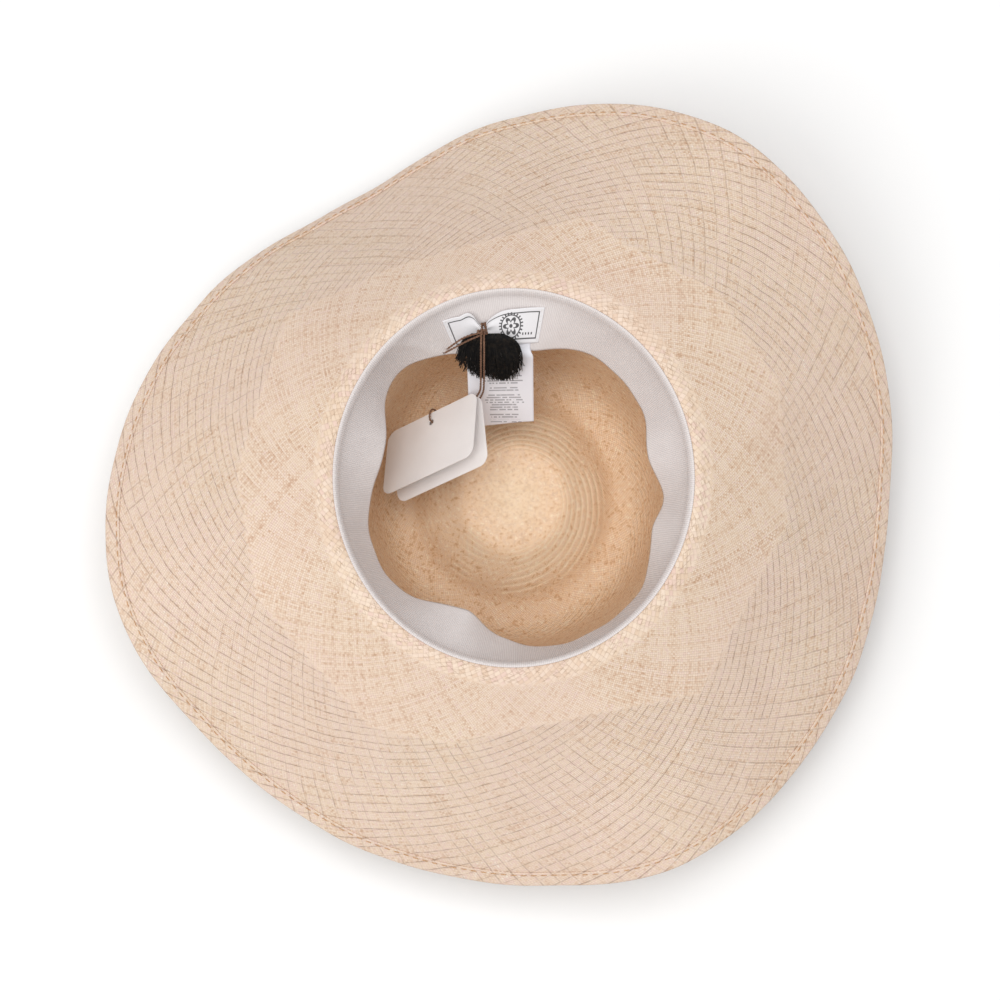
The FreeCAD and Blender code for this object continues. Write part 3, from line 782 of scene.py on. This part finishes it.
def basket_beyond(points):
    """How far points lie outside the close basket weave, in plan."""
    angle = np.degrees(np.arctan2(points[:, 1], points[:, 0]))
    corners = sorted(((a % 360), d) for a, d in BASKET_EDGE)
    places = np.array([(d * math.cos(math.radians(a)), d * math.sin(math.radians(a))) for a, d in corners])
    following = np.roll(places, -1, 0)
    side = following - places
    outward = unit(np.stack([side[:, 1], -side[:, 0]], 1))
    starts = np.array([a for a, _ in corners])
    index = (np.searchsorted(starts, angle % 360, side="right") - 1) % len(corners)
    return ((points[:, :2] - places[index]) * outward[index]).sum(1)


def make_brim():
    """Straw brim, one closed sheet."""
    half = STRAW / 2
    top = np.concatenate([np.linspace(0, BEND, 9), np.linspace(BEND, BRIM_WIDTH - 1.6, 84)[1:]])
    under = np.linspace(BRIM_WIDTH - 1.6, 0, 52)
    lengths = np.concatenate([top, under])
    offsets = np.concatenate([np.full(len(top), half), np.full(len(under), -half)])
    a, column = ring_grid(BRIM_COLUMNS, len(lengths))
    points, spread, _ = brim_points(a, lengths[column], offsets[column])
    mesh_object("brim_weave", points, grid_faces(*a.shape, True, True), BRIM_FINISH, "hat",
                ["straw_brim"], "brim_straw",
                values={"spread": spread, "arc": lengths[column], "beyond": basket_beyond(points)})


def clamped_curve(stations, start, end, count):
    """Smooth curve through stations that leaves and arrives in given directions."""
    knots = np.array(stations, float)
    chord = np.linalg.norm(np.diff(knots, axis=0), axis=1)
    t = running(chord)
    n = len(knots)
    matrix = np.zeros((n, n))
    right = np.zeros((n, 2))
    matrix[0, 0] = matrix[-1, -1] = 1
    right[0] = unit(np.array(start, float))
    right[-1] = unit(np.array(end, float))
    for i in range(1, n - 1):
        before, after = chord[i - 1], chord[i]
        matrix[i, i - 1:i + 2] = (after, 2 * (before + after), before)
        right[i] = 3 * (after / before * (knots[i] - knots[i - 1])
                        + before / after * (knots[i + 1] - knots[i]))
    slope = np.linalg.solve(matrix, right)
    places = np.linspace(0, t[-1], count)
    i = np.clip(np.searchsorted(t, places, side="right") - 1, 0, n - 2)
    h = chord[i][:, None]
    u = ((places - t[i]) / chord[i])[:, None]
    return hermite(knots[i], knots[i + 1], slope[i] * h, slope[i + 1] * h, u)


def crown_outline():
    """Outside profile of the crown from its centre to the brim: half-width and height."""
    dent = clamped_curve(TIP_DENT, (1, 0), (1, 0), 60)
    wall = clamped_curve(CROWN_WALL, (1, 0), (0.08, 1), 120)
    return np.concatenate([dent, wall])


def crown_offset(profile, distance):
    """The profile moved towards the inside of the hat."""
    along = unit(np.gradient(profile, axis=0))
    moved = profile + np.stack([-along[:, 1], along[:, 0]], 1) * distance
    moved[:, 0] = np.maximum(moved[:, 0], 0)
    moved[0, 0] = 0
    moved[-1, 1] = profile[-1, 1]
    return moved


def make_crown():
    """Crown, one closed shell: inside face from the centre out, then outside face back."""
    outside = crown_outline()
    inside, inner_arc = spaced(crown_offset(outside, STRAW), 150)
    outside, outer_arc = spaced(outside, 104)
    profile = np.concatenate([inside, outside[::-1]])
    arc = np.concatenate([inner_arc, outer_arc[::-1]])
    fine = np.linspace(0, inner_arc[-1] + 1, 4000)
    width = np.interp(fine, inner_arc, inside[:, 0])
    spread_along = running(np.diff(fine) / np.maximum(width[1:], 3.0))
    spread = np.interp(arc, fine, spread_along - spread_along[-1])
    a, row = ring_grid(380, len(profile))
    a = np.radians(a)
    half_width, height = profile[row, 0], profile[row, 1]
    points = np.stack([half_width * np.cos(a), half_width * HEAD_RATIO * np.sin(a),
                       height + hollow(half_width, a)], -1)
    mesh_object("crown_weave", points, grid_faces(*a.shape, True, False), CROWN_FINISH, "hat",
                ["crown_tip", "crown_side"], "crown_straw", values={"spread": spread[row], "arc": arc[row]})


def hollow(half_width, angle):
    """Slight unevenness of the dent, none on the rest ring or the wall."""
    inside = np.clip((52 - half_width) / 20, 0, 1) * np.clip(half_width / 8, 0, 1)
    return inside * 0.35 * (np.sin(3 * angle + 1) + 0.7 * np.sin(5 * angle + half_width / 9))


BRIM_FINISH = brim_finish()
CROWN_FINISH = crown_finish()
make_brim()
make_crown()


# ---- hem and stitches ----

def make_hem():
    """Brim's edge, turned over a wire and folded back."""
    half = STRAW / 2
    turn = np.radians(np.linspace(-90, 90, 9))
    middle, radius = (HEM_TOP - half) / 2, (HEM_TOP + half) / 2
    nose = [(radius - radius * math.cos(t), middle + radius * math.sin(t)) for t in turn]
    flap = [(1.6, HEM_TOP + 0.02), (3, HEM_TOP - 0.08), (5, HEM_TOP - 0.12), (HEM_SEAM, HEM_TOP - 0.22),
            (HEM_WIDTH - 0.3, HEM_TOP - 0.05), (HEM_WIDTH, HEM_TOP - 0.35), (HEM_WIDTH, half + 0.05),
            (2.5, half + 0.05), (0.6, half), (0.6, 0.0), (1.5, 0.05 - half)]
    section = np.array([(1.5, -half)] + nose + flap)
    section[:, 0] = BRIM_WIDTH - section[:, 0]
    a, column = ring_grid(BRIM_COLUMNS, len(section))
    s = section[column, 0]
    points, spread, _ = brim_points(a, s, section[column, 1])
    mesh_object("brim_hem_weave", points, grid_faces(*a.shape, True, True), BRIM_FINISH, "hat",
                ["brim_hem"], "hem_straw",
                values={"spread": spread, "arc": s, "beyond": np.full(len(points), 30.0)})


def capsules(middles, along, normal, length, width, height):
    """Points and faces of many small rounded stitches, flat side down."""
    sides, rings = 8, 7
    across = unit(np.cross(normal, along))
    t = np.linspace(0, 1, rings)
    swell = np.sqrt(np.maximum(1 - (2 * t - 1) ** 4, 0.02))[None, :, None, None]
    turn = (np.arange(sides) * 2 * math.pi / sides)[None, None, :, None]
    verts = (middles[:, None, None] + along[:, None, None] * ((t - 0.5) * length)[None, :, None, None]
             + across[:, None, None] * (np.cos(turn) * (width / 2) * swell)
             + normal[:, None, None] * (np.sin(turn) * swell * (height / 2)))
    one = grid_faces(rings, sides, False, True)
    faces = (one[None] + (np.arange(len(middles)) * rings * sides)[:, None, None]).reshape(-1, 4)
    return verts.reshape(-1, 3), faces


def thread_finish(name, dark, pale, roughness=0.7):
    """Sewing thread."""
    finish = Finish(name, roughness=roughness)
    fibre = finish.noise(0.4, 2)
    finish.paint(finish.mix(fibre.step(0.3, 0.7), dark, pale))
    finish.bump(fibre, 0.05)
    return finish.material


STRAW_THREAD = thread_finish("straw_thread", srgb(168, 122, 84), srgb(214, 172, 130))
WHITE_THREAD = thread_finish("white_thread", srgb(196, 190, 186), srgb(232, 228, 226))


def make_stitches(name, node, slot, finish, count, seam, lift, size):
    """Row of stitches all the way round the brim, at one distance from the crown."""
    angles = np.arange(count) * 360 / count
    middle, _, normal = brim_points(angles, seam, lift)
    after, _, _ = brim_points(angles + 0.3, seam, lift)
    mesh_object(name, *capsules(middle, unit(after - middle), normal, *size), finish, "hat", [node], slot)


make_hem()
make_stitches("hem_running_stitch", "hem_stitches", "straw_thread", STRAW_THREAD, HEM_STITCHES,
              BRIM_WIDTH - HEM_SEAM, HEM_TOP, (3.4, 0.55, 0.5))
make_stitches("sweatband_seam", "sweatband_stitches", "white_thread", WHITE_THREAD, BAND_STITCHES,
              BAND_SEAM, BAND_TOP + 0.1, (2.5, 0.4, 0.34))


# ---- sweatband ----

def ribbon_finish(name, dark, pale, rib, depth, roughness=0.8, mottle=0.35):
    """Grosgrain ribbon: fine ribs across its width, laid out on the cloth map."""
    finish = Finish(name, roughness=roughness)
    along, across = finish.cloth()
    ribs = along.wave(rib)
    weave = (across * (2 * math.pi / (rib * 0.6)) + along * (math.pi / rib)).make("SINE") * 0.5 + 0.5
    patch = finish.noise(9.0, 3)
    share = ribs * 0.4 + weave * 0.15 + patch * mottle
    finish.paint(finish.mix(share, dark, pale))
    finish.bump(ribs * 0.8 + weave * 0.2, depth)
    return finish.material


def band_offset_waves(angles, shares):
    """Soft buckles of the sweatband's free edge."""
    a = np.radians(angles)
    free = np.clip(shares, 0, 1) ** 2
    return free * (0.30 * np.sin(11 * a) + 0.22 * np.sin(23 * a + 1.3)) + buckle(angles, shares)


def buckle(angles, shares):
    """One slanting soft fold at the back left of the sweatband."""
    centre = 133 - 10 * np.clip(shares, 0, 1)
    near = np.exp(-((angles - centre) / 2.6) ** 2)
    return 1.1 * near * np.sin(np.clip(shares, 0, 1) * math.pi) ** 0.8


def make_sweatband():
    """Sweatband: ribbon sewn over the turn of the straw, leaning in."""
    count = 720
    angles = np.arange(count) * 360 / count
    half = BAND_THICKNESS / 2
    shares = np.concatenate([[0.0], np.linspace(0.03, 0.97, 22), [1.0]])
    faces_side, back_side = [], []
    for past in (1.0, 0.3, -0.3, -1.0):
        edge = 0.15 if past == 1.0 else 0.0
        faces_side.append(brim_points(angles, BAND_SEAM + past, BAND_TOP - edge)[0])
        back_side.append(brim_points(angles, BAND_SEAM + past, BAND_TOP - BAND_THICKNESS)[0])
    for t in shares:
        edge = 0.12 if t == 1.0 else 0.0
        waves = band_offset_waves(angles, np.full(count, t))
        faces_side.append(band_points(angles, t, half - edge + waves)[0])
        back_side.append(band_points(angles, t, -half + edge + waves)[0])
    rows = np.stack(faces_side + back_side[::-1], 1)
    width = [-3, -2, -1, 0] + [2 + BAND_FREE_WIDTH * t for t in shares]
    width = np.array(width + width[::-1])
    around_mm = np.radians(angles) * BAND_ROUND
    uv = np.stack(np.broadcast_arrays(around_mm[:, None], width[None]), -1)
    band = mesh_object("sweatband_ribbon", rows, grid_faces(*rows.shape[:2], True, True), BAND_FINISH, "hat",
                       ["sweatband"], "sweatband_ribbon", uv=uv)
    unwrap_seam(band, 2 * math.pi * BAND_ROUND)


def unwrap_seam(piece, length):
    """Carries the cloth map on past the place where it comes back to its start."""
    layer = piece.data.uv_layers["cloth"]
    uv = np.empty(len(piece.data.loops) * 2, np.float32)
    layer.data.foreach_get("uv", uv)
    uv = uv.reshape(-1, 4, 2)
    wide = (uv[:, :, 0].max(1) - uv[:, :, 0].min(1)) > length / 2
    low = uv[:, :, 0] < length / 2
    uv[:, :, 0] += np.where(wide[:, None] & low, length, 0)
    layer.data.foreach_set("uv", uv.ravel())


BAND_FINISH = ribbon_finish("sweatband_ribbon", srgb(206, 196, 194), srgb(240, 234, 232), 0.95, 0.16)
make_sweatband()


# ---- woven label ----

def label_finish():
    """White woven label with a thin dark frame and a plain rosette."""
    finish = Finish("woven_label", roughness=0.72)
    along, across = finish.cloth()
    weave = ((along * 9.0).make("SINE") * (across * 9.0).make("SINE")) * 0.5 + 0.5
    white = finish.mix(weave * 0.5, srgb(238, 236, 238), srgb(214, 212, 216))
    left, right, low, high = 1.8, 45.2, 1.7, 13.4
    box = along.between(left, right, 0.12) * across.between(low, high, 0.12)
    inner = along.between(left + 0.55, right - 0.55) * across.between(low + 0.55, high - 0.55)
    frame_line = box * inner.flip()
    dx = along - 31.5
    dy = across - 7.6
    radius = (dx * dx + dy * dy).make("SQRT")
    turn = dy.make("ARCTAN2", dx)
    petals = (turn * 3.0).make("COSINE").make("ABSOLUTE") * 2.2 + 2.0
    flower = (petals - radius).step(-0.15, 0.15) * (petals * 0.62 - radius).step(-0.15, 0.15).flip()
    ring = radius.away(4.9).step(0.18, 0.42).flip()
    rays = (turn * 24.0).make("SINE").step(0.0, 0.4) * radius.away(5.6).step(0.5, 0.8).flip()
    centre = radius.step(0.7, 1.0).flip()
    dots_gate = (along * (2 * math.pi / 1.5)).make("SINE").step(-0.1, 0.3)
    dots = dots_gate * across.away(11.2).step(0.35, 0.6).flip() * along.between(37.1, 43.1)
    ink = flower
    for mark in (ring, rays, centre, dots, frame_line):
        ink = ink.make("MAXIMUM", mark)
    finish.paint(finish.mix(ink * 0.9, white, srgb(28, 27, 30)))
    finish.bump(weave * 0.6 + ink * 0.8, 0.07)
    return finish.material


def interpolate(stations, places):
    """Smooth values through (place, ...values) rows."""
    rows = np.array(sorted(stations), float)
    x = rows[:, 0]
    i = np.clip(np.searchsorted(x, places, side="right") - 1, 0, len(x) - 2)
    h = x[i + 1] - x[i]
    out = []
    for y in rows[:, 1:].T:
        slope = np.gradient(y, x)
        flat = (np.diff(y)[:-1] * np.diff(y)[1:]) <= 0
        slope[1:-1][flat] = 0
        out.append(hermite(y[i], y[i + 1], slope[i] * h, slope[i + 1] * h, (places - x[i]) / h))
    return np.stack(out, 1)


def make_label():
    """Woven label, sewn down at both ends and drawn together by the cord."""
    left, right = LABEL_ENDS
    top, bottom = LABEL_BAND
    flat = LABEL_LIFT
    stations = [(left, top, bottom, flat), (left - 5.5, top + 0.01, bottom - 0.02, flat + 1.0),
                (left - 11, top + 0.09, bottom - 0.08, flat + 2.0),
                (LABEL_PINCH + 1.6, 0.48, 0.71, flat + 2.4), (LABEL_PINCH, 0.53, 0.69, flat + 2.6),
                (LABEL_PINCH - 1.6, 0.47, 0.72, flat + 2.4),
                (LABEL_PINCH - 6, top + 0.10, bottom - 0.04, flat + 2.0),
                (right + 8, top + 0.03, bottom, flat + 1.2), (right, top - 0.02, bottom, flat)]
    columns, rows = 110, 30
    angles = np.linspace(left, right, columns)
    values = interpolate(stations, angles)
    t = np.linspace(0, 1, rows)
    pleat = np.exp(-((angles - LABEL_PINCH) / 4.2) ** 2)[:, None]
    lift = values[:, 2:3] + 0.55 * pleat * np.cos(t[None] * 5 * math.pi) - 0.2 * pleat
    lift = np.maximum(lift, flat)
    share = values[:, 0:1] + (values[:, 1:2] - values[:, 0:1]) * t[None]
    front, _ = band_points(angles[:, None], share, lift + LABEL_THICKNESS)
    back, _ = band_points(angles[:, None], share, lift)
    uv = plate_uv(np.linspace(0, 47, columns)[:, None], t * 15)
    label = mesh_object("woven_label_cloth", np.concatenate([front, back]), plate_faces(columns, rows),
                        LABEL_FINISH, "hat", ["woven_label"], "woven_label", uv=uv)
    mesh_object("woven_label_stitches", *label_stitches(), WHITE_THREAD, "hat",
                ["label_stitches"], "white_thread")


def label_stitches():
    """Stitches along both ends of the woven label."""
    top, bottom = LABEL_BAND
    lift = LABEL_LIFT + LABEL_THICKNESS + 0.05
    count = 6
    shares = top + (bottom - top) * (np.arange(count) + 0.5) / count
    ends = np.repeat([LABEL_ENDS[0] - 0.9, LABEL_ENDS[1] + 0.9], count)
    shares = np.tile(shares, 2)
    middle, normal = band_points(ends, shares, lift)
    after, _ = band_points(ends, shares + 0.01, lift)
    return capsules(middle, unit(after - middle), normal, 1.8, 0.4, 0.35)


def make_label_turns():
    """Turns of the cord that draw the woven label together."""
    parts = []
    turn = full_turn(60)
    for shift, lean in ((0.5, 0.3), (-0.2, -0.4), (-0.9, 0.2)):
        angles = LABEL_PINCH + shift + lean * np.sin(turn)
        shares = 0.61 - 0.125 * np.cos(turn)
        path, _ = band_points(angles, shares, BAND_THICKNESS / 2 + 2.75 + 1.35 * np.sin(turn))
        parts.append(twisted(evenly(path, 0.3, True)[0], True, thread=0.28, spread=0.24))
    mesh_object("woven_label_turns", *joined(parts), CORD_FINISH, "hat", slot="brown_cord")


LABEL_FINISH = label_finish()
make_label()
make_label_turns()


# ---- care label ----

CARE_WIDTH = 34.0
CARE_LENGTH = 50.5
CARE_SLOPE = 54.0       # degrees that it hangs below the rim's plane
CARE_SEWN = 8.0         # length of its sewn end
CARE_FOLD = 2.2         # half the length over which it bends off the ribbon
CARE_ANGLE = 96.2       # where its middle is sewn, from +X
CARE_ASKEW = 0.05      # its right side is this share shorter, its left side longer
CARE_TOP = np.array((-6.9, 65.2, 81.8))


def care_finish():
    """White satin label with rows of plain grey dashes in place of its small print."""
    finish = Finish("satin_label", roughness=0.42)
    along, across = finish.cloth()
    satin = (across * 14.0 + (finish.noise(0.8, 1) * 4.0)).make("SINE") * 0.5 + 0.5
    white = finish.mix(satin * 0.4, srgb(240, 240, 246), srgb(220, 219, 226))
    line = across / 1.75
    row = line.make("FLOOR")
    in_row = line.make("FRACT").away(0.5).step(0.20, 0.30).flip()
    dash = ((along / 0.85) + row.random(7.0) * 9.0).make("FLOOR") + row * 57.0
    on = dash.random(13.0).step(0.18, 0.30)
    reach = row.random(29.0) * 5.0 + 6.0
    inside = (reach - along.away(18.5)).step(-0.1, 0.1)
    printed = row.random(51.0).step(0.22, 0.24)
    ink = in_row * on * inside * printed * across.between(23.1, 57.1)
    finish.paint(finish.mix(ink * 0.62, white, srgb(96, 96, 106)))
    finish.bump(satin, 0.03)
    return finish.material


def make_care_label():
    """Care label, sewn under the woven label; its free part hangs inwards from its fold."""
    slope = math.radians(CARE_SLOPE)
    across = unit(np.array((1, 0.02, 0)))
    down = np.array((0.14, -math.cos(slope), -math.sin(slope)))
    down = unit(down - across * down.dot(across))
    face = np.cross(down, across)
    half_width = CARE_WIDTH / 2
    uu, ss = np.meshgrid(np.linspace(-half_width, half_width, 34), np.linspace(-CARE_SEWN, CARE_LENGTH, 90))
    free = np.clip(ss[:, :1] / CARE_LENGTH, 0, 1)
    ss = np.where(ss > 0, ss * (1 - CARE_ASKEW * uu / half_width), ss)
    curl = 0.9 * free ** 2 * (np.abs(uu) / half_width) ** 2 * np.sign(uu) - 0.8 * np.sin(free * math.pi)
    hanging = CARE_TOP + across * uu[..., None] + down * np.maximum(ss, 0)[..., None] + face * curl[..., None]
    angles = CARE_ANGLE - uu / 70 * 57.3
    sewn, _ = band_points(angles, np.clip(0.995 + ss / BAND_FREE_WIDTH, 0.6, 0.995), 0.62)
    fold = np.clip((ss + CARE_FOLD) / (2 * CARE_FOLD), 0, 1)[..., None]
    fold = fold * fold * (3 - 2 * fold)
    verts, faces = plate(sewn.reshape(uu.shape + (3,)) * (1 - fold) + hanging * fold, 0.11)
    label = mesh_object("care_label_cloth", verts, faces, CARE_FINISH, None,
                        ["care_label", "care_label_stub"], "satin_label",
                        uv=plate_uv(uu + half_width, ss + CARE_SEWN))
    start = CARE_TOP - down * 0.5
    end = CARE_TOP + down * 5.0
    tuple(start * MM)
    tuple(end * MM)
    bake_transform(label)


CARE_FINISH = care_finish()
make_care_label()


# ---- tassel ----

# Where across the tassel each clump of threads ends, from -1 to 1, and its share of the full length.
CLUMPS = [(-1.0, 0.62), (-0.86, 0.70), (-0.72, 0.78), (-0.57, 0.86), (-0.42, 0.90), (-0.29, 0.94),
          (-0.13, 0.88), (-0.02, 0.92), (0.12, 0.97), (0.24, 1.0), (0.36, 1.02), (0.47, 1.0), (0.58, 0.98),
          (0.70, 0.94), (0.82, 0.88), (0.93, 0.80)]
TASSEL_THREADS = 640
TASSEL_HALF_DEPTH = 1.4
NECK_CENTRE = np.array((-13.0, 73.2, 92.6))
NECK_TURNS = 20
# Middle of the threads from the neck down: x, y, z, width, and the direction of their depth in y and z.
SKIRT = [(-13, 74.1, 94.0, 17.0, 0.1, 0.95), (-13, 72.0, 93.8, 24.0, -0.6, 0.75),
         (-12.6, 68.9, 90.2, 29.0, -0.52, 0.85), (-12.2, 63.2, 86.5, 32.0, -0.66, 0.75),
         (-12.0, 58.4, 80.4, 33.0, -0.80, 0.60), (-11.8, 54.0, 74.4, 32.0, -0.81, 0.59)]


def tassel_finish():
    """Black silky threads with a few browner ones."""
    finish = Finish("black_thread", roughness=0.7, Specular_IOR_Level=0.25)
    shade = finish.noise(1.6, 2)
    finish.paint(finish.mix(shade.step(0.4, 0.75), srgb(9, 8, 9), srgb(38, 32, 26)))
    finish.bump(finish.noise(0.3, 1), 0.05)
    return finish.material


def skirt_point(along, side, layer):
    """Point of the tassel: along 0 at its neck to 1 at its ends, side -1 to 1, layer -1 to 1."""
    place = np.clip(np.asarray(along) * (len(SKIRT) - 1), 0, len(SKIRT) - 1.0001)
    i = place.astype(int)
    part = (place - i)[:, None]
    table = np.array(SKIRT)
    row = table[i] * (1 - part) + table[i + 1] * part
    point = row[:, :3].copy()
    point[:, 0] += side * row[:, 3] / 2
    point[:, 1:] += (layer * TASSEL_HALF_DEPTH)[:, None] * row[:, 4:]
    return point


def make_tassel():
    """Hundreds of loose threads fanning from a wrapped neck, in clumps."""
    rng = np.random.default_rng(11)
    parts = []
    t = np.linspace(0, 1, 12)
    for _ in range(TASSEL_THREADS):
        tip, length = CLUMPS[rng.integers(len(CLUMPS))]
        tip = tip + rng.normal(0, 0.035)
        length = min(max(length + rng.normal(0, 0.035), 0.35), 1.03)
        neck = np.clip(tip * 0.8 + rng.normal(0, 0.12), -0.95, 0.95)
        layer = rng.uniform(-0.85, 1.0)
        bulge = tip * 0.16 if tip > 0.4 else -0.05
        side = neck + (tip - neck) * t ** 1.3 + bulge * np.sin(t * math.pi) ** 2
        side = side + np.where(t > 0.7, (t - 0.7) * rng.normal(0, 0.16), 0)
        side = np.clip(side, -1.1, 1.08)
        puff = layer * (0.45 + 0.55 * t) + 0.5 * np.sin(t * math.pi) * rng.uniform(0.2, 1.0)
        points = skirt_point(t * length, side, puff)
        parts.append(tube(points, rng.uniform(0.17, 0.24), 4, taper=np.linspace(1, 0.7, len(t))))
    mesh_object("tassel_threads", *joined(parts), TASSEL_FINISH, "tassel", ["tassel_skirt"], "black_thread")
    turn = np.linspace(0, NECK_TURNS * 2 * math.pi, NECK_TURNS * 16)
    coil = np.stack([np.linspace(-6.6, 6.6, len(turn)), 0.85 * np.cos(turn), 0.85 * np.sin(turn)], 1)
    core = np.stack([np.linspace(-6.8, 6.8, 12), np.zeros(12), np.zeros(12)], 1)
    neck = [tube(coil + NECK_CENTRE, 0.34, 6), tube(core + NECK_CENTRE, 0.75, 12)]
    mesh_object("tassel_neck", *joined(neck), TASSEL_FINISH, "tassel", ["tassel_binding"], "black_thread")


TASSEL_FINISH = tassel_finish()
make_tassel()


# ---- hang tags and hidden wire keep their CAD shapes ----

def card_finish():
    """Smooth white card with a faint tooth."""
    finish = Finish("tag_card", roughness=0.5)
    tooth = finish.noise(0.5, 3)
    cloud = finish.noise(18.0, 2)
    finish.paint(finish.mix(cloud * 0.6 + tooth * 0.3, srgb(232, 226, 224), srgb(247, 244, 243)))
    finish.bump(tooth, 0.02)
    return finish.material


def wire_finish():
    """Drawn steel wire."""
    finish = Finish("hem_wire", roughness=0.35, Metallic=1.0)
    drawn = finish.noise(0.6, 2)
    finish.paint(finish.mix(drawn, srgb(150, 150, 152), srgb(190, 190, 192)))
    return finish.material


def dress(node, material):
    """Gives a CAD node its finish."""
    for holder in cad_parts[node].material_slots:
        holder.material = material


CARD_FINISH = card_finish()
dress("front_tag", CARD_FINISH)
dress("back_tag", CARD_FINISH)
dress("brim_wire", wire_finish())


# ---- hatband and bow ----

OUTLINE = crown_outline()
HATBAND_ROUND = 90.0    # mean radius that its cloth map is laid out on
HATBAND_FACE = 0.92     # from the crown's wall to the face of the hatband


def wall_at(heights):
    """Half-width of the crown's outside at heights."""
    wall = OUTLINE[OUTLINE[:, 1] > 10]      # leaves out the dent and the rest ring
    return np.interp(heights, wall[:, 1], wall[:, 0])


def make_hatband():
    """Ribbon round the outside of the crown."""
    gap = 0.12
    z = np.linspace(71.0, 96.0, 14)
    face = wall_at(z) + HATBAND_FACE
    face[[0, -1]] -= 0.25
    ring = np.concatenate([np.stack([face, z], 1), np.stack([wall_at(z[::-1]) + gap, z[::-1]], 1)])
    a, column = ring_grid(480, len(ring))
    a = np.radians(a)
    r, height = ring[column, 0], ring[column, 1]
    points = np.stack([r * np.cos(a), r * HEAD_RATIO * np.sin(a), height], -1)
    band = mesh_object("hatband_ribbon", points, grid_faces(*a.shape, True, True), BLACK_RIBBON, "hat",
                       ["hatband"], "black_ribbon", uv=np.stack([a * HATBAND_ROUND, height], -1))
    unwrap_seam(band, 2 * math.pi * HATBAND_ROUND)


def in_between(values, count):
    """Values at evenly spaced places from the first to the last."""
    return np.interp(np.linspace(0, len(values) - 1, count), np.arange(len(values)), values)


def make_bow_piece(node, y, lift, middle):
    """One ribbon of the bow, from its run (y, lift) and the grid of points half way through it."""
    length = running(np.hypot(np.diff(y), np.diff(lift)))
    verts, faces = plate(middle, 0.22)
    ribbon = mesh_object(node + "_ribbon", verts, faces, BLACK_RIBBON, "hat", [node], "black_ribbon",
                         uv=plate_uv(length[:, None], middle[..., 2]))


def make_bow_loop(node, side):
    """One loop of the flat bow: a ribbon that runs out from the knot and comes back over itself."""
    y = in_between([3.0, 8, 14, 20, 26, 30.0, 31.2, 30.6, 27, 21, 15, 9, 5, 3.0], 70)
    lift = in_between([1.0, 0.9, 0.8, 0.75, 0.75, 0.9, 1.9, 3.1, 3.9, 4.5, 4.9, 4.6, 3.9, 3.1], 70)
    for _ in range(6):
        y[1:-1] = (y[:-2] + 2 * y[1:-1] + y[2:]) / 4
        lift[1:-1] = (lift[:-2] + 2 * lift[1:-1] + lift[2:]) / 4
    open_up = np.clip((y - 3) / 16, 0, 1)[:, None]
    low = 74.4 - 2.2 * open_up
    high = 92.6 + 2.2 * open_up
    t = np.linspace(0, 1, 16)[None]
    z = low + (high - low) * t
    bulge = np.sqrt(1 - (y / HEAD_HALF_LENGTH) ** 2)[:, None]
    crease = (1 - open_up) * 0.35 * np.cos(t * 4 * math.pi)
    x = -(wall_at(z) + HATBAND_FACE) * bulge - lift[:, None] - crease * 0.5
    middle = np.stack([x, np.broadcast_to(side * y[:, None], x.shape), z], -1)
    make_bow_piece(node, y, lift, middle)


def make_bow():
    """Flat bow on the wearer's left: two loops and the ribbon round their middle."""
    make_bow_loop("bow_loop_front", -1)
    make_bow_loop("bow_loop_back", 1)
    y = in_between([-3.3, -3.5, -3.1, -2.0, -0.7, 0.7, 2.0, 3.1, 3.5, 3.3], 50)
    lift = in_between([0.6, 2.2, 4.2, 5.2, 5.5, 5.5, 5.2, 4.2, 2.2, 0.6], 50)
    t = np.linspace(0, 1, 14)[None]
    z = 73.4 + 20.0 * t + 0 * y[:, None]
    x = -(wall_at(z) + HATBAND_FACE) - lift[:, None] - 0.25 * np.sin(t * 3 * math.pi + 0.6)
    middle = np.stack([x, np.broadcast_to(y[:, None], x.shape), z], -1)
    make_bow_piece("bow_knot", y, lift, middle)


BLACK_RIBBON = ribbon_finish("black_ribbon", srgb(14, 14, 16), srgb(44, 44, 48), 0.9, 0.16, 0.62, 0.3)
make_hatband()
make_bow()


# ---- floor and light ----

HAT_MIDDLE = Vector((0, 0, 0.05))
FLOOR_HALF_SIZE = 12000.0
FLOOR_HEIGHT = -0.02    # just under the rest plane, so the two never share a face


def make_floor():
    """Plain pale floor under the crown."""
    points = [(x * FLOOR_HALF_SIZE, y * FLOOR_HALF_SIZE, FLOOR_HEIGHT)
              for x, y in ((-1, -1), (1, -1), (1, 1), (-1, 1))]
    finish = Finish("floor", roughness=0.9)
    finish.shader.inputs["Base Color"].default_value = srgb(250, 250, 250)
    mesh_object("floor", points, [(0, 1, 2, 3)], finish.material, None)


def soft_light(name, place, size, power, colour=(1, 1, 1)):
    """Large square lamp that faces the hat; metres and watts."""
    data = bpy.data.lights.new(name, "AREA")
    data.shape = "SQUARE"
    data.size = size
    data.energy = power
    data.color = colour
    lamp = bpy.data.objects.new(name, data)
    bpy.context.scene.collection.objects.link(lamp)
    lamp.location = place
    lamp.rotation_euler = (Vector(place) - HAT_MIDDLE).to_track_quat("Z", "Y").to_euler()


def light_scene():
    """Pale surroundings, a key from the front left and a broad lamp overhead."""
    world = bpy.data.worlds.new("studio")
    bpy.context.scene.world = world
    world.use_nodes = True
    background = world.node_tree.nodes["Background"]
    background.inputs["Color"].default_value = (1.0, 1.0, 1.0, 1.0)
    background.inputs["Strength"].default_value = 0.54
    soft_light("key", (-0.9, -0.8, 1.7), 1.2, 12, (1.0, 0.985, 0.96))
    soft_light("top", (0.0, 0.1, 2.0), 1.1, 18)
    bpy.context.scene.view_settings.view_transform = "Standard"


make_floor()
light_scene()
